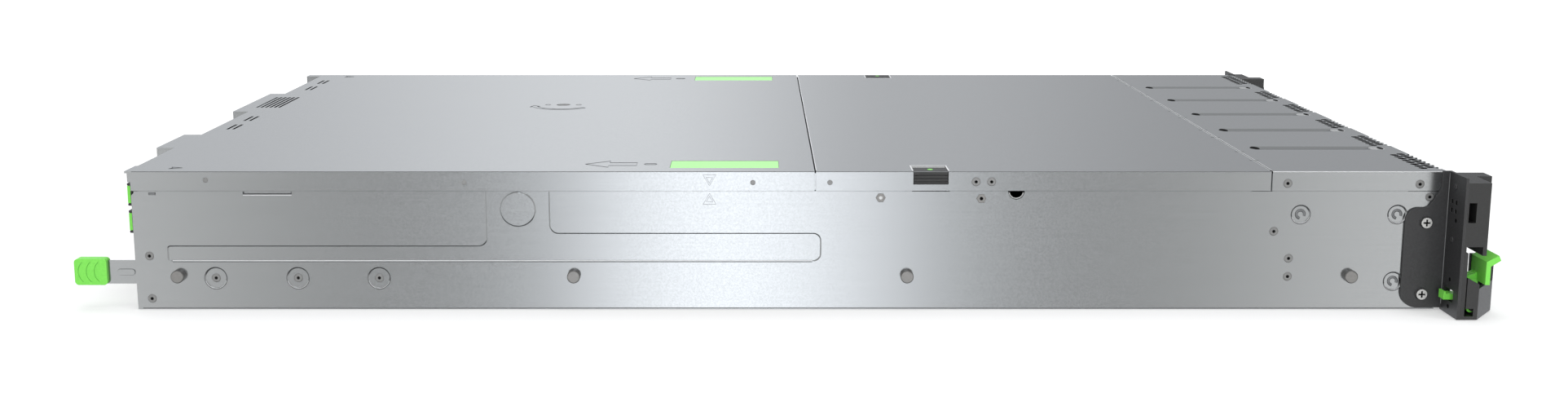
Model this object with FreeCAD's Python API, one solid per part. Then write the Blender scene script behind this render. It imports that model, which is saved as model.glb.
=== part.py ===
import FreeCAD, Part
import math
import os

V = FreeCAD.Vector

# A 2U rack server for a 19-inch rack. Millimetres, +Z up, +X towards the front with the drive bays,
# +Y towards the server's own left. The origin is the centre of the base's underside.
# Left-hand pieces are built at +Y, and the right-hand ones are their mirror images.

# Chassis envelope
body_length = 804.0
body_width = 435.0
body_height = 87.0
ear_overhang = 23.8
sheet = 1.2

# Clearances
seat_gap = 0.4
running_gap = 0.3
seam_gap = 0.8

# Top covers
front_panel_length = 104.8
front_lip = 2.4
mid_cover_length = 279.6
rear_lip = 1.8
skirt_height = 12.2
skirt_notch = 5.4
rail_lap = 10.0
hook_tab_count = 5
hook_tab_pitch = 83.5
hook_tab_width = 30.0
hook_tab_root = 6.0
hook_tab_reach = 2.2
relief_width = 1.2
relief_reach = 3.0
hood_depth = 11.9
hood_flange = 8.0
hood_spans = [(-138.2, -88.1), (13.1, 104.8)]
corner_hood_width = 9.1
corner_tab_depth = 1.5
corner_tab_width = 17.5
slit_length = 20.5
slit_width = 1.8
slit_insets = (10.6, 14.7)
slit_centres = (-56.0, -19.5, 136.0, 172.5)
grille_slits = 6
grille_pitch = 3.4
grille_span = (32.5, 85.5)
pad_length = 67.6
pad_width = 23.4
pad_front_inset = 22.1
pad_side_inset = 10.7
pad_pocket_depth = 0.8
pad_thickness = 0.6
lock_from_rear = 233.0
lock_y = 46.5
lock_radius = 5.0
lock_flange = 2.0
lock_tongue_length = 22.0
lock_tongue_width = 8.0
lock_tongue_thickness = 1.5
lock_slot_width = 1.4
lock_slot_depth = 0.8

# Cover latches
latch_from_seam = 219.1
latch_length = 20.7
latch_depth = 12.0
latch_height = 7.9
latch_pocket_depth = 18.6
latch_groove = 0.9
latch_groove_count = 3

# Front panel grooves and vents
cell_count = 6
cage_margin = 9.0
rib_depth = 1.5
rib_width = 11.0
rib_slope = 1.6
rib_rear_inset = 10.8
rib_front_inset = 6.4
rib_ramp = 10.0
rib_hole_radius = 2.4
rib_hole_inset = 3.9
vent_across_flats = 5.0
vent_pitch = 6.2
vent_rows = 3
vent_counts = (8, 6, 6, 6, 6, 8)
vent_shifts = (-11.7, -8.7, -8.7, -6.8, -7.8, 9.2)

# Side wall embossing, rail studs and dimples
emboss_depth = 0.6
emboss_slope = 0.8
emboss_radius = 5.0
emboss_rear_radius = 2.0
emboss_rear_inset = 20.1
emboss_length = 403.5
emboss_bottom = 30.3
emboss_low_height = 10.1
emboss_high_height = 18.1
emboss_arm_start = 197.0
emboss_arm_width = 39.7
emboss_disc_radius = 10.3
emboss_disc_drop = 11.2
stud_radius = 4.0
stud_length = 4.0
stud_chamfer = 0.5
stud_z = 21.3
stud_rear_insets = (26.5, 270.8)
stud_front_insets = (327.5, 53.7)
dimple_radius = 7.0
dimple_depth = 0.7
dimple_z = 19.7
dimple_rear_insets = (49.2, 100.0, 150.2)
key_dimple_radius = 6.0
key_dimple_places = ((86.0, 60.0), (26.6, 60.0), (26.6, 17.7))
lance_rear_inset = 68.8
lance_length = 29.7
lance_width = 0.7
lance_drop = 1.7
moon_from_seam = 156.2
moon_radius = 5.0
corner_chamfer = 2.6

# Base pan
base_flange = 10.0
standoff_radius = 3.0
standoff_rear_insets = (40.0, 150.0)
standoff_front_insets = (180.0, 20.0)
standoff_rows = (-100.0, 0.0, 100.0)
board_lift = 6.8
board_thickness = 1.6

# Power supplies and their bays
psu_width = 86.0
psu_height = 41.0
psu_length = 185.0
psu_recess = 4.0
psu_side_gap = 1.2
inlet_width = 28.0
inlet_height = 20.0
inlet_depth = 18.0
inlet_blade = 11.0
inlet_blade_width = 2.0
inlet_blade_height = 4.0
inlet_blade_places = ((-7.0, -3.0), (0.0, 3.0), (7.0, -3.0))
inlet_from_inside = 22.0
psu_fan_radius = 17.0
psu_fan_hub = 6.5
psu_fan_depth = 4.0
psu_fan_from_outside = 27.0
strip_inset = 2.9
strip_height = 14.8
strip_length = 31.1
strip_knuckle = 2.2
strip_pin = 1.0
lug_height = 2.8
bead_length = 11.0
bead_height = 3.8
bead_rise = 0.5
bead_start = 4.4
grip_length = 20.2
grip_height = 16.6
grip_thickness = 6.0
grip_radius = 2.4
grip_groove_count = 3
grip_groove_start = 2.4
grip_groove_pitch = 5.0
grip_groove_radius = 8.2
grip_groove_width = 0.5
grip_groove_depth = 0.35
grip_groove_half_chord = 6.2

# Slots above the power supplies
slot_window_width = 66.0
slot_bar = 2.2
slot_cover_lap = 1.5
slot_cover_thickness = 0.9
slot_vents = 5
slot_vent_width = 7.0
slot_vent_height = 5.0
riser_length = 173.0
riser_wall_inset = 0.3
riser_board_length = 140.0
riser_connector_length = 85.0
riser_connector_depth = 11.0
riser_connector_height = 7.5
slot_latch_height = 14.0
slot_latch_pitch = 17.1
slot_latch_depth = 3.0
slot_latch_width = 19.9
slot_latch_arm = 1.3
slot_latch_base = 0.8
slot_latch_block = 3.0
slot_latch_top_drop = 8.0

# Rear connectors: centre, width, height, and the mouth's width, height and depth where it is open
connector_depth = 16.0
connector_proud = 0.6
plain_ports = ((-84.0, 31.0, 12.5), (-46.0, 31.0, 12.5))
usb_centres = (-16.0, 4.0)
usb_shell = (14.6, 7.6)
usb_mouth = (12.4, 5.0, 11.0)
lan_centres = (26.0, 46.0, 66.0)
lan_shell = (16.4, 13.8)
lan_mouth = (11.8, 8.6, 12.0)
rear_vent_width = 5.0
rear_vent_height = 19.0
rear_vent_pitch = 10.0
rear_vent_half_span = 115.0
rear_vent_bottom = 33.0
rear_vent_row_gap = 5.0
rear_panel_flange = 9.6
io_plate_margin = 2.6

# Drives, carriers, fillers and their cage
partition = 1.0
bay_pitch_min = 17.1
drive_count = 4
drive_thickness = 15.0
drive_length = 103.5
drive_top_drop = 12.5
runner_height = 2.0
bezel_depth = 11.0
bezel_front = 4.0
bezel_side_gap = 0.35
bezel_top_drop = 7.0
cage_length = 101.0
cage_front_inset = 1.0
guide_width = 0.8
guide_height = 3.0
filler_plate = 3.0
filler_arm_length = 53.0
filler_arm_width = 13.0
filler_slot_height = 8.0
filler_slot_count = 4
lever_width = 12.0
lever_thickness = 4.0
lever_length = 62.0
lever_top_drop = 13.0
lever_pin = 1.0
backplane_gap = 0.6
backplane_connector = 4.5
backplane_thickness = 2.4

# Fans
fan_count = 6
fan_size = 60.0
fan_depth = 38.0
fan_bore = 28.2
fan_corner = 3.0
fan_strut = 3.5
fan_hub = 13.0
fan_shaft = 2.0
fan_shaft_gap = 0.15
rotor_length = 28.0
blade_count = 7
blade_chord = 24.0
blade_thickness = 1.6
blade_root = 11.0
blade_tip = 26.2
blade_root_angle = 28.0
blade_tip_angle = 38.0
fan_bracket_from_seam = 59.2
fan_bracket_height = 76.8
fan_ledge = 48.0

# Motherboard, heat sinks and memory
board_rear_inset = 3.0
board_from_bracket = 88.0
board_neck_half = 122.0
board_side_inset = 12.5
socket_height = 4.0
sink_length = 108.0
sink_side_gap = 9.5
sink_base = 6.0
sink_top_drop = 14.0
fin_thickness = 1.2
fin_count = 20
sink_front_inset = 32.0
memory_length = 133.0
memory_height = 29.0
memory_thickness = 3.0
memory_pitch = 8.0
memory_per_bank = 6
memory_inner_bank = 31.0
memory_side_inset = 38.5
memory_socket_height = 7.0
memory_front_inset = 20.0

# Ears
ear_setback = 3.4
ear_plate = 1.5
ear_bottom = 0.2
ear_rise = 0.5
flange_reach = 22.0
flange_low_radius = 10.0
flange_top_radius = 8.0
flange_shoulder_z = 64.5
flange_neck_reach = 0.7
flange_neck_rise = 12.5
ear_screw_radius = 3.85
ear_screw_head = 2.2
ear_screw_inset = 9.5
ear_screw_heights = (10.2, 55.4)
light_pipe_places = ((6.5, 70.0), (12.0, 70.0), (6.5, 64.5), (12.0, 64.5))
light_pipe_size = 2.8
hook_window = (3.5, 17.0, 8.5, 16.2)
housing_wall = 1.5
housing_top_drop = 2.5
housing_depth = 13.8
housing_underside = 45.3
housing_lip = 2.4
housing_lip_drop = 5.3
outer_block_start = 3.0
inner_block_start = 8.7
inner_block_depth = 23.5
slot_mouth = (1.2, 4.6, 60.1, 12.2, 12.0)
base_strip = 2.9
base_strip_top = 41.5
guard_reach = 28.7
guard_corner_reach = 10.9
guard_wall = 2.1
guard_floor = 2.0
guard_top = 19.5
guard_inner_top = 36.0
guard_inner_start = 14.1
guard_side_bottom = 7.0
guard_side_front_top = 22.2
guard_side_rear_top = 26.6
guard_slant = 2.6
cheek_height = 9.3
lever_axis_reach = 8.6
lever_axis_z = 5.8
ear_lever_pin = 1.0
ear_lever_boss = 2.4
ear_lever_boss_length = 15.5
ear_lever_core = (5.5, 12.5)
ear_lever_wall = 2.8
ear_lever_bottom = 21.8
ear_lever_top = 36.0
ear_lever_arm = 2.5
hook_height = 3.6
hook_bottom = 9.6
hook_reach = 5.1
hook_lip = 1.4
thumb_reach = 5.9
thumb_rise = 3.9
thumb_under_rise = 0.9
thumb_slant = 1.4
button_radius = 4.5
button_top_drop = 13.0
id_button_radius = 3.0
id_button_top_drop = 27.0
button_proud = 1.0
button_length = 5.0
button_travel = 1.2

# Places that follow from the sizes above
rear_x = -body_length / 2
front_x = body_length / 2
half_w = body_width / 2
ear_out = half_w + ear_overhang
panel_rear_x = front_x - front_panel_length
mid_rear_x = panel_rear_x - mid_cover_length
cover_under = body_height - sheet
skirt_bottom = body_height - skirt_height
wall_top = cover_under - seat_gap
shoulder = skirt_bottom - seat_gap
flange_out = half_w - sheet - seat_gap
inner_half = flange_out - sheet
psu_outer = half_w - 2 * sheet - psu_side_gap
psu_inner = psu_outer - psu_width
psu_bottom = sheet + running_gap
psu_top = psu_bottom + psu_height
psu_rear = rear_x + psu_recess
psu_front = psu_rear + psu_length
bay_roof = psu_top + running_gap
bay_wall = psu_inner - running_gap
deck = bay_roof + sheet
board_bottom = sheet + board_lift
board_top = board_bottom + board_thickness
io_plate_top = board_top + lan_shell[1] + io_plate_margin
cell_pitch = (body_width - 2 * cage_margin) / cell_count
bays_per_cell = int((cell_pitch - partition) // bay_pitch_min)
bay_pitch = (cell_pitch - partition) / bays_per_cell
cage_front = front_x - cage_front_inset
cage_rear = cage_front - cage_length
cage_floor = sheet + partition
rib_under = body_height - rib_depth - sheet
bezel_face = front_x + bezel_front
bezel_rear = bezel_face - bezel_depth
bezel_width = bay_pitch - 2 * bezel_side_gap
bezel_top = body_height - bezel_top_drop
drive_rear = bezel_rear - drive_length
bracket_x = panel_rear_x - fan_bracket_from_seam
board_front = bracket_x - board_from_bracket
ear_x = front_x + ear_setback
ear_face = ear_x + ear_plate
ear_top = body_height + ear_rise
hook_low, hook_high = hook_window[2], hook_window[3]
lever_axis_x = ear_face + lever_axis_reach
lever_rear = ear_face + housing_depth + 2 * running_gap
latch_rear = panel_rear_x - latch_from_seam
latch_bottom = body_height - latch_height
pocket_floor = latch_bottom - running_gap
lock_x = rear_x + lock_from_rear
hinge_radius = sheet / 2
memory_outer_bank = half_w - memory_side_inset
memory_banks = (-memory_outer_bank, -memory_inner_bank, memory_inner_bank, memory_outer_bank)
bank_width = (memory_per_bank - 1) * memory_pitch + memory_thickness
sink_y = (memory_inner_bank + memory_outer_bank) / 2
sink_width = memory_outer_bank - memory_inner_bank - bank_width - 2 * sink_side_gap


def box(x0, x1, y0, y1, z0, z1):
    return Part.makeBox(x1 - x0, y1 - y0, z1 - z0, V(x0, y0, z0))


def cylinder(centre, direction, radius, length):
    return Part.makeCylinder(radius, length, V(*centre), V(*direction))


def mirrored(shape):
    return shape.mirror(V(0, 0, 0), V(0, 1, 0))


def both_sides(shape):
    return [shape, mirrored(shape)]


def joined(pieces):
    return pieces[0].fuse(pieces[1:]).removeSplitter()


def prism(points, sweep):
    corners = [V(*point) for point in points]
    return Part.Face(Part.makePolygon(corners + corners[:1])).extrude(V(*sweep))


def prism_xz(points, y0, y1):
    return prism([(x, y0, z) for x, z in points], (0, y1 - y0, 0))


def prism_yz(points, x0, x1):
    return prism([(x0, y, z) for y, z in points], (x1 - x0, 0, 0))


def prism_xy(points, z0, z1):
    return prism([(x, y, z0) for x, y in points], (0, 0, z1 - z0))


def rounded_wire(corners, place):
    """Closed outline through corners (a, b, radius), with an arc at each corner that has a radius."""
    edges = []
    stops = []
    for index, (a, b, radius) in enumerate(corners):
        here = V(a, b, 0)
        before = (V(corners[index - 1][0], corners[index - 1][1], 0) - here).normalize()
        following = corners[(index + 1) % len(corners)]
        after = (V(following[0], following[1], 0) - here).normalize()
        half_angle = before.getAngle(after) / 2
        reach = radius / math.tan(half_angle)
        middle = (before + after).normalize() * (radius / math.sin(half_angle) - radius)
        stops.append((here + before * reach, here + middle, here + after * reach, radius))
    for index, (start, middle, end, radius) in enumerate(stops):
        if radius > 0:
            edges.append(Part.Arc(place(start), place(middle), place(end)).toShape())
        next_start = stops[(index + 1) % len(stops)][0]
        edges.append(Part.makeLine(place(end), place(next_start)))
    return Part.Wire(edges)


def rounded_prism(corners, place, sweep):
    return Part.Face(rounded_wire(corners, place)).extrude(V(*sweep))


def racetrack(x0, x1, y, width, z):
    radius = width / 2
    upper = Part.makeLine(V(x1 - radius, y + radius, z), V(x0 + radius, y + radius, z))
    rear = Part.Arc(V(x0 + radius, y + radius, z), V(x0, y, z), V(x0 + radius, y - radius, z)).toShape()
    lower = Part.makeLine(V(x0 + radius, y - radius, z), V(x1 - radius, y - radius, z))
    front = Part.Arc(V(x1 - radius, y - radius, z), V(x1, y, z), V(x1 - radius, y + radius, z)).toShape()
    return Part.Wire([upper, rear, lower, front])


def save(name, solids):
    shape = solids[0] if len(solids) == 1 else Part.makeCompound(solids)
    shape.exportStep("parts/" + name + ".step")


def stud_places():
    rear_ones = [rear_x + inset for inset in stud_rear_insets]
    return rear_ones + [front_x - inset for inset in stud_front_insets]


def base_pan():
    wall = half_w - sheet
    floor = box(rear_x, front_x, -wall, wall, 0, sheet)
    flanges = both_sides(box(rear_x, front_x, wall - sheet, wall, 0, base_flange + sheet))
    posts = []
    places = [rear_x + inset for inset in standoff_rear_insets]
    places += [board_front - inset for inset in standoff_front_insets]
    for x in places:
        for y in standoff_rows:
            posts.append(cylinder((x, y, 0), (0, 0, 1), standoff_radius, board_bottom))
    return joined([floor] + flanges + posts)


def wall_recess():
    """Shallow embossed strip with an arm that rises to the cover's skirt, round a raised disc."""
    x0 = rear_x + emboss_rear_inset
    x1 = x0 + emboss_length
    arm0 = x0 + emboss_arm_start
    arm1 = arm0 + emboss_arm_width
    low = emboss_bottom + emboss_low_height
    high = emboss_bottom + emboss_high_height
    corners = [
        (x0, emboss_bottom, emboss_rear_radius),
        (x1, emboss_bottom, emboss_radius),
        (x1, high, emboss_radius),
        (arm1, high, emboss_radius),
        (arm1, body_height, 0),
        (arm0, body_height, 0),
        (arm0, low, emboss_radius),
        (x0, low, emboss_rear_radius),
    ]
    mouth = rounded_wire(corners, lambda p: V(p.x, half_w, p.y))
    bed = mouth.makeOffset2D(-emboss_slope, 2)
    bed.translate(V(0, -emboss_depth, 0))
    recess = Part.makeLoft([mouth, bed], True, True)
    disc_z = shoulder - emboss_disc_drop
    disc = Part.makeCone(emboss_disc_radius + emboss_slope, emboss_disc_radius, emboss_depth,
                         V((arm0 + arm1) / 2, half_w - emboss_depth, disc_z), V(0, 1, 0))
    return recess.cut(disc)


def lanced_tab():
    """Groove round three sides of a tab at the wall's top edge."""
    x0 = rear_x + lance_rear_inset
    x1 = x0 + lance_length
    low = shoulder - lance_drop
    outer = box(x0, x1, half_w - emboss_depth, half_w, low, shoulder)
    return outer.cut(box(x0 + lance_width, x1 - lance_width, half_w - emboss_depth, half_w,
                         low + lance_width, shoulder))


def half_moon():
    return cylinder((panel_rear_x - moon_from_seam, inner_half, shoulder), (0, 1, 0), moon_radius,
                    half_w - inner_half)


def cover_rails():
    """Joggled strips welded inside each wall, standing up behind the skirts, open at the latch pockets."""
    wall_in = half_w - sheet
    low = shoulder - rail_lap
    profile = [(wall_in - sheet, low), (wall_in, low), (wall_in, shoulder - sheet), (flange_out, shoulder),
               (flange_out, wall_top), (inner_half, wall_top), (inner_half, shoulder),
               (wall_in - sheet, shoulder - sheet)]
    pocket_room = sheet + 2 * seat_gap
    spans = [(rear_x + sheet, latch_rear - pocket_room),
             (latch_rear + latch_length + pocket_room, front_x - sheet)]
    rails = []
    for x0, x1 in spans:
        rails += both_sides(prism_yz(profile, x0, x1).cut(half_moon()))
    return rails


def side_wall():
    wall = box(rear_x, front_x, half_w - sheet, half_w, 0, shoulder)
    cuts = [wall_recess(), lanced_tab()]
    for inset in dimple_rear_insets:
        cuts.append(Part.makeCone(dimple_radius, dimple_radius - emboss_slope, dimple_depth,
                                  V(rear_x + inset, half_w, dimple_z), V(0, -1, 0)))
    for inset, z in key_dimple_places:
        cuts.append(Part.makeCone(key_dimple_radius, key_dimple_radius - emboss_slope, dimple_depth,
                                  V(front_x - inset, half_w, z), V(0, -1, 0)))
    cuts.append(half_moon())
    chamfer = [(rear_x, shoulder - corner_chamfer), (rear_x + corner_chamfer, shoulder), (rear_x, shoulder)]
    cuts.append(prism_xz(chamfer, inner_half, half_w))
    return wall.cut(cuts)


def rail_studs():
    studs = []
    for x in stud_places():
        shaft = cylinder((x, half_w, stud_z), (0, 1, 0), stud_radius, stud_length - stud_chamfer)
        tip = Part.makeCone(stud_radius, stud_radius - stud_chamfer, stud_chamfer,
                            V(x, half_w + stud_length - stud_chamfer, stud_z), V(0, 1, 0))
        studs += both_sides(joined([shaft, tip]))
    return studs


def rear_cover():
    x0 = rear_x - rear_lip
    x1 = mid_rear_x - seam_gap / 2
    plate = box(x0, x1, -half_w, half_w, cover_under, body_height)
    skirts = both_sides(box(x0, x1, half_w - sheet, half_w, skirt_bottom, body_height))
    pieces = [plate] + skirts
    for y0, y1 in hood_spans + [(half_w - corner_hood_width, half_w)]:
        pieces.append(box(x0 - hood_depth, x0, y0, y1, cover_under, body_height))
        pieces.append(box(x0 - hood_depth, x0 - hood_depth + sheet, y0, y1,
                          body_height - hood_flange, body_height))
    pieces.append(box(x0 - corner_tab_depth, x0, -half_w, -half_w + corner_tab_width,
                      cover_under, body_height))
    cover = joined(pieces)
    cuts = both_sides(box(x0, rear_x, half_w - sheet, half_w, skirt_bottom, skirt_bottom + skirt_notch))
    for inset in slit_insets:
        for y in slit_centres:
            x = x0 + inset
            cuts.append(box(x - slit_width / 2, x + slit_width / 2, y - slit_length / 2,
                            y + slit_length / 2, cover_under, body_height))
    for index in range(grille_slits):
        x = x0 + index * grille_pitch
        cuts.append(box(x - slit_width / 2, x + slit_width / 2, grille_span[0], grille_span[1],
                        cover_under, body_height))
    for pocket in both_sides(touch_pad_room(0, body_height - pad_pocket_depth, body_height)):
        cuts.append(pocket)
    cuts.append(cylinder((lock_x, lock_y, cover_under), (0, 0, 1), lock_radius + running_gap, sheet))
    return cover.cut(cuts)


def touch_pad_room(shrink, z0, z1):
    x1 = mid_rear_x - pad_front_inset
    y1 = half_w - pad_side_inset
    return box(x1 - pad_length + shrink, x1 - shrink, y1 - pad_width + shrink, y1 - shrink, z0, z1)


def touch_pads():
    floor = body_height - pad_pocket_depth
    return both_sides(touch_pad_room(running_gap / 2, floor, floor + pad_thickness))


def cover_lock():
    flange_top = cover_under - running_gap
    flange_base = flange_top - sheet
    head = cylinder((lock_x, lock_y, flange_base), (0, 0, 1), lock_radius, body_height - flange_base)
    flange = cylinder((lock_x, lock_y, flange_base), (0, 0, 1), lock_radius + lock_flange, sheet)
    tongue = box(lock_x - lock_radius, lock_x + lock_tongue_length, lock_y - lock_tongue_width / 2,
                 lock_y + lock_tongue_width / 2, flange_base - lock_tongue_thickness, flange_base)
    slot = box(lock_x - lock_radius, lock_x + lock_radius, lock_y - lock_slot_width / 2,
               lock_y + lock_slot_width / 2, body_height - lock_slot_depth, body_height)
    return joined([head, flange, tongue]).cut(slot)


def hook_tab_centres():
    return [(index - (hook_tab_count - 1) / 2) * hook_tab_pitch for index in range(hook_tab_count)]


def relief_slots():
    """Narrow slots across the front seam, at both ends of each hook tab."""
    slots = []
    for y in hook_tab_centres():
        for end in (y - hook_tab_width / 2, y + hook_tab_width / 2):
            slots.append(box(panel_rear_x - relief_reach, panel_rear_x + relief_reach,
                             end - relief_width / 2, end + relief_width / 2, cover_under, body_height))
    return slots


def hook_tab(y, edge_x):
    """Joggled tongue that reaches from the middle cover's front edge to under the front panel."""
    half = hook_tab_width / 2 - relief_width
    root = edge_x - hook_tab_root
    top = cover_under - seat_gap
    tongue = box(root, panel_rear_x + hook_tab_reach, y - half, y + half, top - sheet, top)
    joggle = box(root, root + 2 * sheet, y - half, y + half, top - sheet, cover_under)
    return joined([tongue, joggle])


def mid_cover():
    """Plate with a rounded front edge, about which it tilts, hook tabs, side skirts and latch pockets."""
    x0 = mid_rear_x + seam_gap / 2
    x1 = panel_rear_x - seam_gap / 2
    plate = box(x0, x1 - hinge_radius, -half_w, half_w, cover_under, body_height)
    nose = cylinder((x1 - hinge_radius, -half_w, body_height - hinge_radius), (0, 1, 0),
                    hinge_radius, body_width)
    tabs = [hook_tab(y, x1) for y in hook_tab_centres()]
    skirt = box(x0, x1, half_w - sheet, half_w, skirt_bottom, body_height)
    room0 = latch_rear - seat_gap
    room1 = latch_rear + latch_length + seat_gap
    pocket = box(room0 - sheet, room1 + sheet, half_w - latch_pocket_depth - sheet, half_w,
                 pocket_floor - sheet, body_height)
    room = box(room0, room1, half_w - latch_pocket_depth, half_w, pocket_floor, body_height)
    cover = joined([plate, nose] + tabs + both_sides(skirt) + both_sides(pocket))
    return cover.cut(both_sides(room) + relief_slots())


def cover_latch():
    body = box(latch_rear, latch_rear + latch_length, half_w - latch_depth, half_w, latch_bottom, body_height)
    step = latch_height / (latch_groove_count + 1)
    grooves = []
    for index in range(latch_groove_count):
        z = latch_bottom + (index + 0.75) * step
        grooves.append(box(latch_rear, latch_rear + latch_length, half_w - latch_groove, half_w,
                           z - latch_groove / 2, z + latch_groove / 2))
    return body.cut(grooves)


def hexagon(x, y):
    radius = vent_across_flats / math.sqrt(3)
    corners = []
    for index in range(6):
        angle = math.radians(60 * index)
        corners.append((x + radius * math.cos(angle), y + radius * math.sin(angle)))
    return prism_xy(corners, cover_under, body_height)


def rib_places():
    return [(index - cell_count / 2) * cell_pitch for index in range(1, cell_count)]


def front_top_panel():
    x0 = panel_rear_x + seam_gap / 2
    x1 = front_x + front_lip
    rib0 = panel_rear_x + rib_rear_inset
    rib1 = x1 - rib_front_inset
    low_end = rib1 - rib_ramp
    plate = box(x0, x1, -half_w, half_w, cover_under, body_height)
    troughs = []
    grooves = []
    for y in rib_places():
        inner_width = rib_width - 2 * rib_slope
        grooves.append(Part.makeLoft([
            racetrack(rib0, rib1, y, rib_width, body_height),
            racetrack(rib0 + rib_slope, low_end, y, inner_width, body_height - rib_depth)], True, True))
        troughs.append(Part.makeLoft([
            racetrack(rib0 - sheet, rib1 + sheet, y, rib_width + 2 * sheet, cover_under),
            racetrack(rib0 + rib_slope - sheet, low_end + sheet, y, inner_width + 2 * sheet, rib_under)],
            True, True))
        for x in (rib0 + rib_hole_inset, rib1 - rib_hole_inset):
            grooves.append(cylinder((x, y, rib_under), (0, 0, 1), rib_hole_radius, body_height - rib_under))
    row_step = vent_pitch * math.sqrt(3) / 2
    vents = []
    for cell, count in enumerate(vent_counts):
        centre = (cell - (cell_count - 1) / 2) * cell_pitch + vent_shifts[cell]
        for row in range(vent_rows):
            shift = vent_pitch / 2 if row % 2 else 0
            for index in range(count):
                y = centre + (index - (count - 1) / 2) * vent_pitch + shift
                vents.append(hexagon(x1 - row * row_step, y))
    skirts = both_sides(box(x0, front_x, half_w - sheet, half_w, skirt_bottom, body_height))
    return joined([plate] + skirts + troughs).cut(grooves + vents + relief_slots())


def psu_half_room(gap):
    return box(rear_x, psu_front, psu_inner - gap, inner_half, sheet, psu_top + gap)


def slot_window_heights():
    span = wall_top - 2 * sheet - deck - 3 * slot_bar
    height = span / 2
    return [(deck + slot_bar, deck + slot_bar + height),
            (deck + 2 * slot_bar + height, deck + 2 * slot_bar + 2 * height)]


def port_shells():
    """Each rear connector as centre, width, height and mouth, or no mouth where the socket has pins."""
    shells = [(y, width, height, None) for y, width, height in plain_ports]
    shells += [(y, usb_shell[0], usb_shell[1], usb_mouth) for y in usb_centres]
    shells += [(y, lan_shell[0], lan_shell[1], lan_mouth) for y in lan_centres]
    return shells


def rear_panel():
    plate = box(rear_x, rear_x + sheet, -inner_half, inner_half, sheet, wall_top)
    flange = box(rear_x, rear_x + rear_panel_flange, -inner_half, inner_half, wall_top - sheet, wall_top)
    cuts = both_sides(psu_half_room(running_gap))
    window_in = bay_wall + 2 * sheet
    for z0, z1 in slot_window_heights():
        cuts += both_sides(box(rear_x, rear_x + sheet, window_in, window_in + slot_window_width, z0, z1))
    cuts.append(box(rear_x, rear_x + sheet, -bay_wall, bay_wall, sheet, io_plate_top + running_gap))
    columns = int(2 * rear_vent_half_span // rear_vent_pitch)
    for index in range(columns):
        y = (index - (columns - 1) / 2) * rear_vent_pitch
        for row in range(2):
            z = rear_vent_bottom + row * (rear_vent_height + rear_vent_row_gap)
            cuts.append(box(rear_x, rear_x + sheet, y - rear_vent_width / 2, y + rear_vent_width / 2,
                            z, z + rear_vent_height))
    return joined([plate, flange]).cut(cuts)


def io_plate():
    """Comb-shaped plate under the rear panel, that stands on the base between the rear connectors."""
    plate = box(rear_x, rear_x + sheet, -bay_wall, bay_wall, sheet, io_plate_top)
    notches = []
    for y, width, height, mouth in port_shells():
        half = width / 2 + running_gap
        notches.append(box(rear_x, rear_x + sheet, y - half, y + half, sheet,
                           board_top + height + running_gap))
    return plate.cut(notches)


def rear_connectors():
    solids = []
    x0 = rear_x - connector_proud
    for y, width, height, mouth in port_shells():
        shell = box(x0, x0 + connector_depth, y - width / 2, y + width / 2, board_top, board_top + height)
        if mouth:
            middle = board_top + height / 2
            shell = shell.cut(box(x0, x0 + mouth[2], y - mouth[0] / 2, y + mouth[0] / 2,
                                  middle - mouth[1] / 2, middle + mouth[1] / 2))
        solids.append(shell)
    return solids


def slot_covers():
    x0 = rear_x + sheet
    y0 = bay_wall + 2 * sheet
    solids = []
    for z0, z1 in slot_window_heights():
        lap = min(slot_cover_lap, slot_bar / 2 - running_gap)
        cover = box(x0, x0 + slot_cover_thickness, y0 - lap, y0 + slot_window_width + lap, z0 - lap, z1 + lap)
        step = slot_window_width / slot_vents
        vents = []
        for index in range(slot_vents):
            y = y0 + (index + 0.5) * step
            middle = (z0 + z1) / 2
            vents.append(box(x0, x0 + slot_cover_thickness, y - slot_vent_width / 2, y + slot_vent_width / 2,
                             middle - slot_vent_height / 2, middle + slot_vent_height / 2))
        solids += both_sides(cover.cut(vents))
    return solids


def psu_bay():
    wall = box(rear_x + sheet, psu_front, bay_wall - sheet, bay_wall, sheet, bay_roof)
    roof = box(rear_x + sheet, psu_front, bay_wall - sheet, inner_half, bay_roof, deck)
    return joined([wall, roof])


def power_board():
    x0 = psu_front + backplane_connector
    board = box(x0, x0 + board_thickness, psu_inner, psu_outer, sheet, bay_roof)
    plug = box(psu_front + backplane_gap, x0, psu_inner + psu_width / 4, psu_outer - psu_width / 4,
               psu_bottom + psu_height / 4, psu_top - psu_height / 4)
    return joined([board, plug])


def strip_span():
    middle = (psu_bottom + psu_top) / 2
    return middle - strip_height / 2, middle + strip_height / 2


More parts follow.
